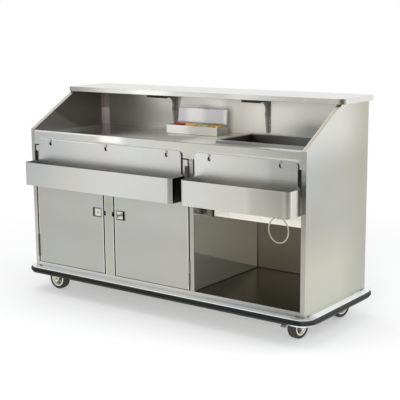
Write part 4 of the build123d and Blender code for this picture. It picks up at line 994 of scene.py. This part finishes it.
BED_TOP, BED_BUMPS = 0.988, 0.005
oranges = two_rows(
    PANS[1], inset=0.31, slack=0.003, first=0.1265, step=0.0125, count=6, behind=0.012, fill=(0.9865, 0.9945),
    lean=0.80, tip=0.1, twist=0.2,
)
limes = two_rows(
    PANS[2], inset=0.29, slack=0.002, first=0.139, step=0.0125, count=5, behind=0.004, fill=(0.9935, 1.0005),
    lean=0.62, tip=0.1, twist=0.5,
)
lemons = two_rows(
    PANS[3], inset=0.29, slack=0.002, first=0.1315, step=0.0225, count=4, behind=0.0, fill=(0.982, 0.9885),
    lean=0.0, tip=0.4, twist=0.25,
)
for name, mat, pan, pieces in (
    ("garnish_orange", orange_cut, PANS[1], (slice_of(*at, 0.0235, 0.0048, half=True) for at in oranges)),
    ("garnish_lime", lime_cut, PANS[2], (slice_of(*at, 0.0182, 0.0046, half=False) for at in limes)),
    ("garnish_lemon", lemon_cut, PANS[3], (wedge_of(*at, 0.036, 0.025, width=1.25) for at in lemons)),
):
    garnish(name, mat, [bed(pan, BED_TOP, BED_BUMPS), *pieces])

# Camera at the photo's place and angle
CAMERA_AT = (3.1722, -4.1802, 1.6012)
YAW, PITCH, ROLL = 0.63567, 0.18776, -0.00876
SENSOR, LENS = 36.0, 85.48
ahead = Vector((-math.sin(YAW) * math.cos(PITCH), math.cos(YAW) * math.cos(PITCH), -math.sin(PITCH)))
flat_right = Vector((math.cos(YAW), math.sin(YAW), 0))
flat_up = flat_right.cross(ahead)
right = flat_right * math.cos(ROLL) + flat_up * math.sin(ROLL)
up = right.cross(ahead)
lens = bpy.data.cameras.new("photo_camera")
lens.sensor_fit = "HORIZONTAL"
lens.sensor_width = SENSOR
lens.lens = LENS
camera = bpy.data.objects.new("photo_camera", lens)
turn = Matrix((right, up, -ahead)).transposed().to_4x4()
camera.matrix_world = Matrix.Translation(CAMERA_AT) @ turn
scene.collection.objects.link(camera)
scene.camera = camera


# Soft studio light
def area(name, place, aim, size, power):
    """A soft lamp, which metal doesn't mirror."""
    data = bpy.data.lights.new(name, "AREA")
    data.shape = "RECTANGLE"
    data.size, data.size_y = size
    data.energy = power
    lamp = bpy.data.objects.new(name, data)
    lamp.location = place
    lamp.visible_glossy = False
    lamp.rotation_euler = (Vector(aim) - Vector(place)).to_track_quat("-Z", "Y").to_euler()
    scene.collection.objects.link(lamp)


area("top_softbox", place=(-0.4, -0.6, 3.8), aim=(0, 0, 0.6), size=(4.4, 3.2), power=70)
area("front_softbox", place=(2.5, -4.9, 1.35), aim=(0, 0, 0.6), size=(1.8, 2.0), power=213)
area("right_softbox", place=(3.8, 1.2, 2.8), aim=(0.3, 0, 0.7), size=(2.6, 2.6), power=45)

# Studio: white to the camera, an even light on the bar, and walls that polished steel mirrors
# The walls by the angle from the operator's side in degrees, turning to the right, at half their brightness
WALLS = (
    (-180, (0.48, 0.48, 0.48)),
    (-150, (0.42, 0.42, 0.42)),
    (-60, (0.33, 0.33, 0.327)),
    (-50, (0.32, 0.32, 0.317)),
    (-46.5, (0.335, 0.335, 0.332)),
    (-44, (0.42, 0.42, 0.417)),
    (-42.8, (0.60, 0.60, 0.595)),
    (-42.2, (0.84, 0.84, 0.83)),
    (-41.4, (0.84, 0.84, 0.83)),
    (-40.6, (0.54, 0.54, 0.535)),
    (-37.5, (0.55, 0.55, 0.545)),
    (-35.7, (0.49, 0.49, 0.482)),
    (-33.7, (0.42, 0.417, 0.405)),
    (-33.2, (0.27, 0.265, 0.252)),
    (-32, (0.19, 0.185, 0.17)),
    (-28, (0.15, 0.143, 0.127)),
    (5, (0.13, 0.12, 0.10)),
    (15, (0.06, 0.05, 0.038)),
    (22, (0.016, 0.011, 0.006)),
    (62, (0.016, 0.011, 0.006)),
    (82, (0.19, 0.188, 0.183)),
    (106, (0.21, 0.208, 0.204)),
    (116, (0.26, 0.255, 0.25)),
    (122, (0.62, 0.62, 0.62)),
    (132, (0.74, 0.74, 0.74)),
    (142, (0.55, 0.55, 0.55)),
    (155, (0.52, 0.52, 0.52)),
    (180, (0.48, 0.48, 0.48)),
)
WALL_STRENGTH = 2.0
WALL_TOP = (0.03, 0.20)  # where the walls turn into the ceiling, as the sine of the angle up
CEILING, CEILING_SHARE = (0.43, 0.43, 0.43), 0.45
EVEN_LIGHT, EVEN_STRENGTH = (0.98, 0.99, 1.0, 1), 0.68

world = bpy.data.worlds.new("studio")
world.use_nodes = True
scene.world = world
w = Nodes(world.node_tree)
w.tree.nodes.clear()


def background(colour, strength=1.0):
    node = w.new("Background")
    w.feed(node, (("Color", colour), ("Strength", strength)))
    return node.outputs[0]


x, y, z = w.split(w.new("TexCoord").outputs["Generated"])
angle = w.math("ARCTAN2", x, w.times(y, -1.0))
walls = w.new("ValToRGB")
stops = walls.color_ramp.elements
while len(stops) < len(WALLS):
    stops.new(0.5)
for stop, (degrees, colour) in zip(stops, WALLS):
    stop.position = (degrees + 180) / 360
    stop.color = (*colour, 1)
w.link(w.span(angle, -math.pi, math.pi), walls.inputs[0])
above = w.mix(CEILING_SHARE, CEILING, walls.outputs[0])
room = w.mix(w.ease(z, *WALL_TOP), walls.outputs[0], above)
ray = w.new("LightPath").outputs
lit = w.mix_shaders(
    ray["Is Glossy Ray"], background(EVEN_LIGHT, EVEN_STRENGTH), background(room, WALL_STRENGTH)
)
clear = w.most(ray["Is Camera Ray"], ray["Is Transmission Ray"])
studio = w.mix_shaders(clear, lit, background((1, 1, 1, 1)))
w.link(studio, w.new("OutputWorld").inputs[0])

# Pale floor that fades into the white background
FLOOR_R = 3.6
FADE_FROM, FADE_TO, FADE_LEAST = 1.2, 3.2, 0.32
floor_mesh = bpy.data.meshes.new("floor")
bm = bmesh.new()
bmesh.ops.create_circle(bm, cap_ends=True, segments=96, radius=FLOOR_R)
bm.to_mesh(floor_mesh)
bm.free()
floor = bpy.data.objects.new("floor", floor_mesh)
scene.collection.objects.link(floor)
s = Shade("floor_white", (0.9, 0.9, 0.9), 0.9)
fade = s.ease(s.away((0, 0, 0)), FADE_FROM, FADE_TO, FADE_LEAST, 1.0)
ray = s.new("LightPath").outputs
seen = s.most(ray["Is Camera Ray"], ray["Is Glossy Ray"], ray["Is Transmission Ray"])
white = s.mix_shaders(s.times(fade, seen), s.main.outputs[0], s.new("Emission").outputs[0])
s.link(white, s.tree.nodes["Material Output"].inputs["Surface"])
floor_mesh.materials.append(s.mat)
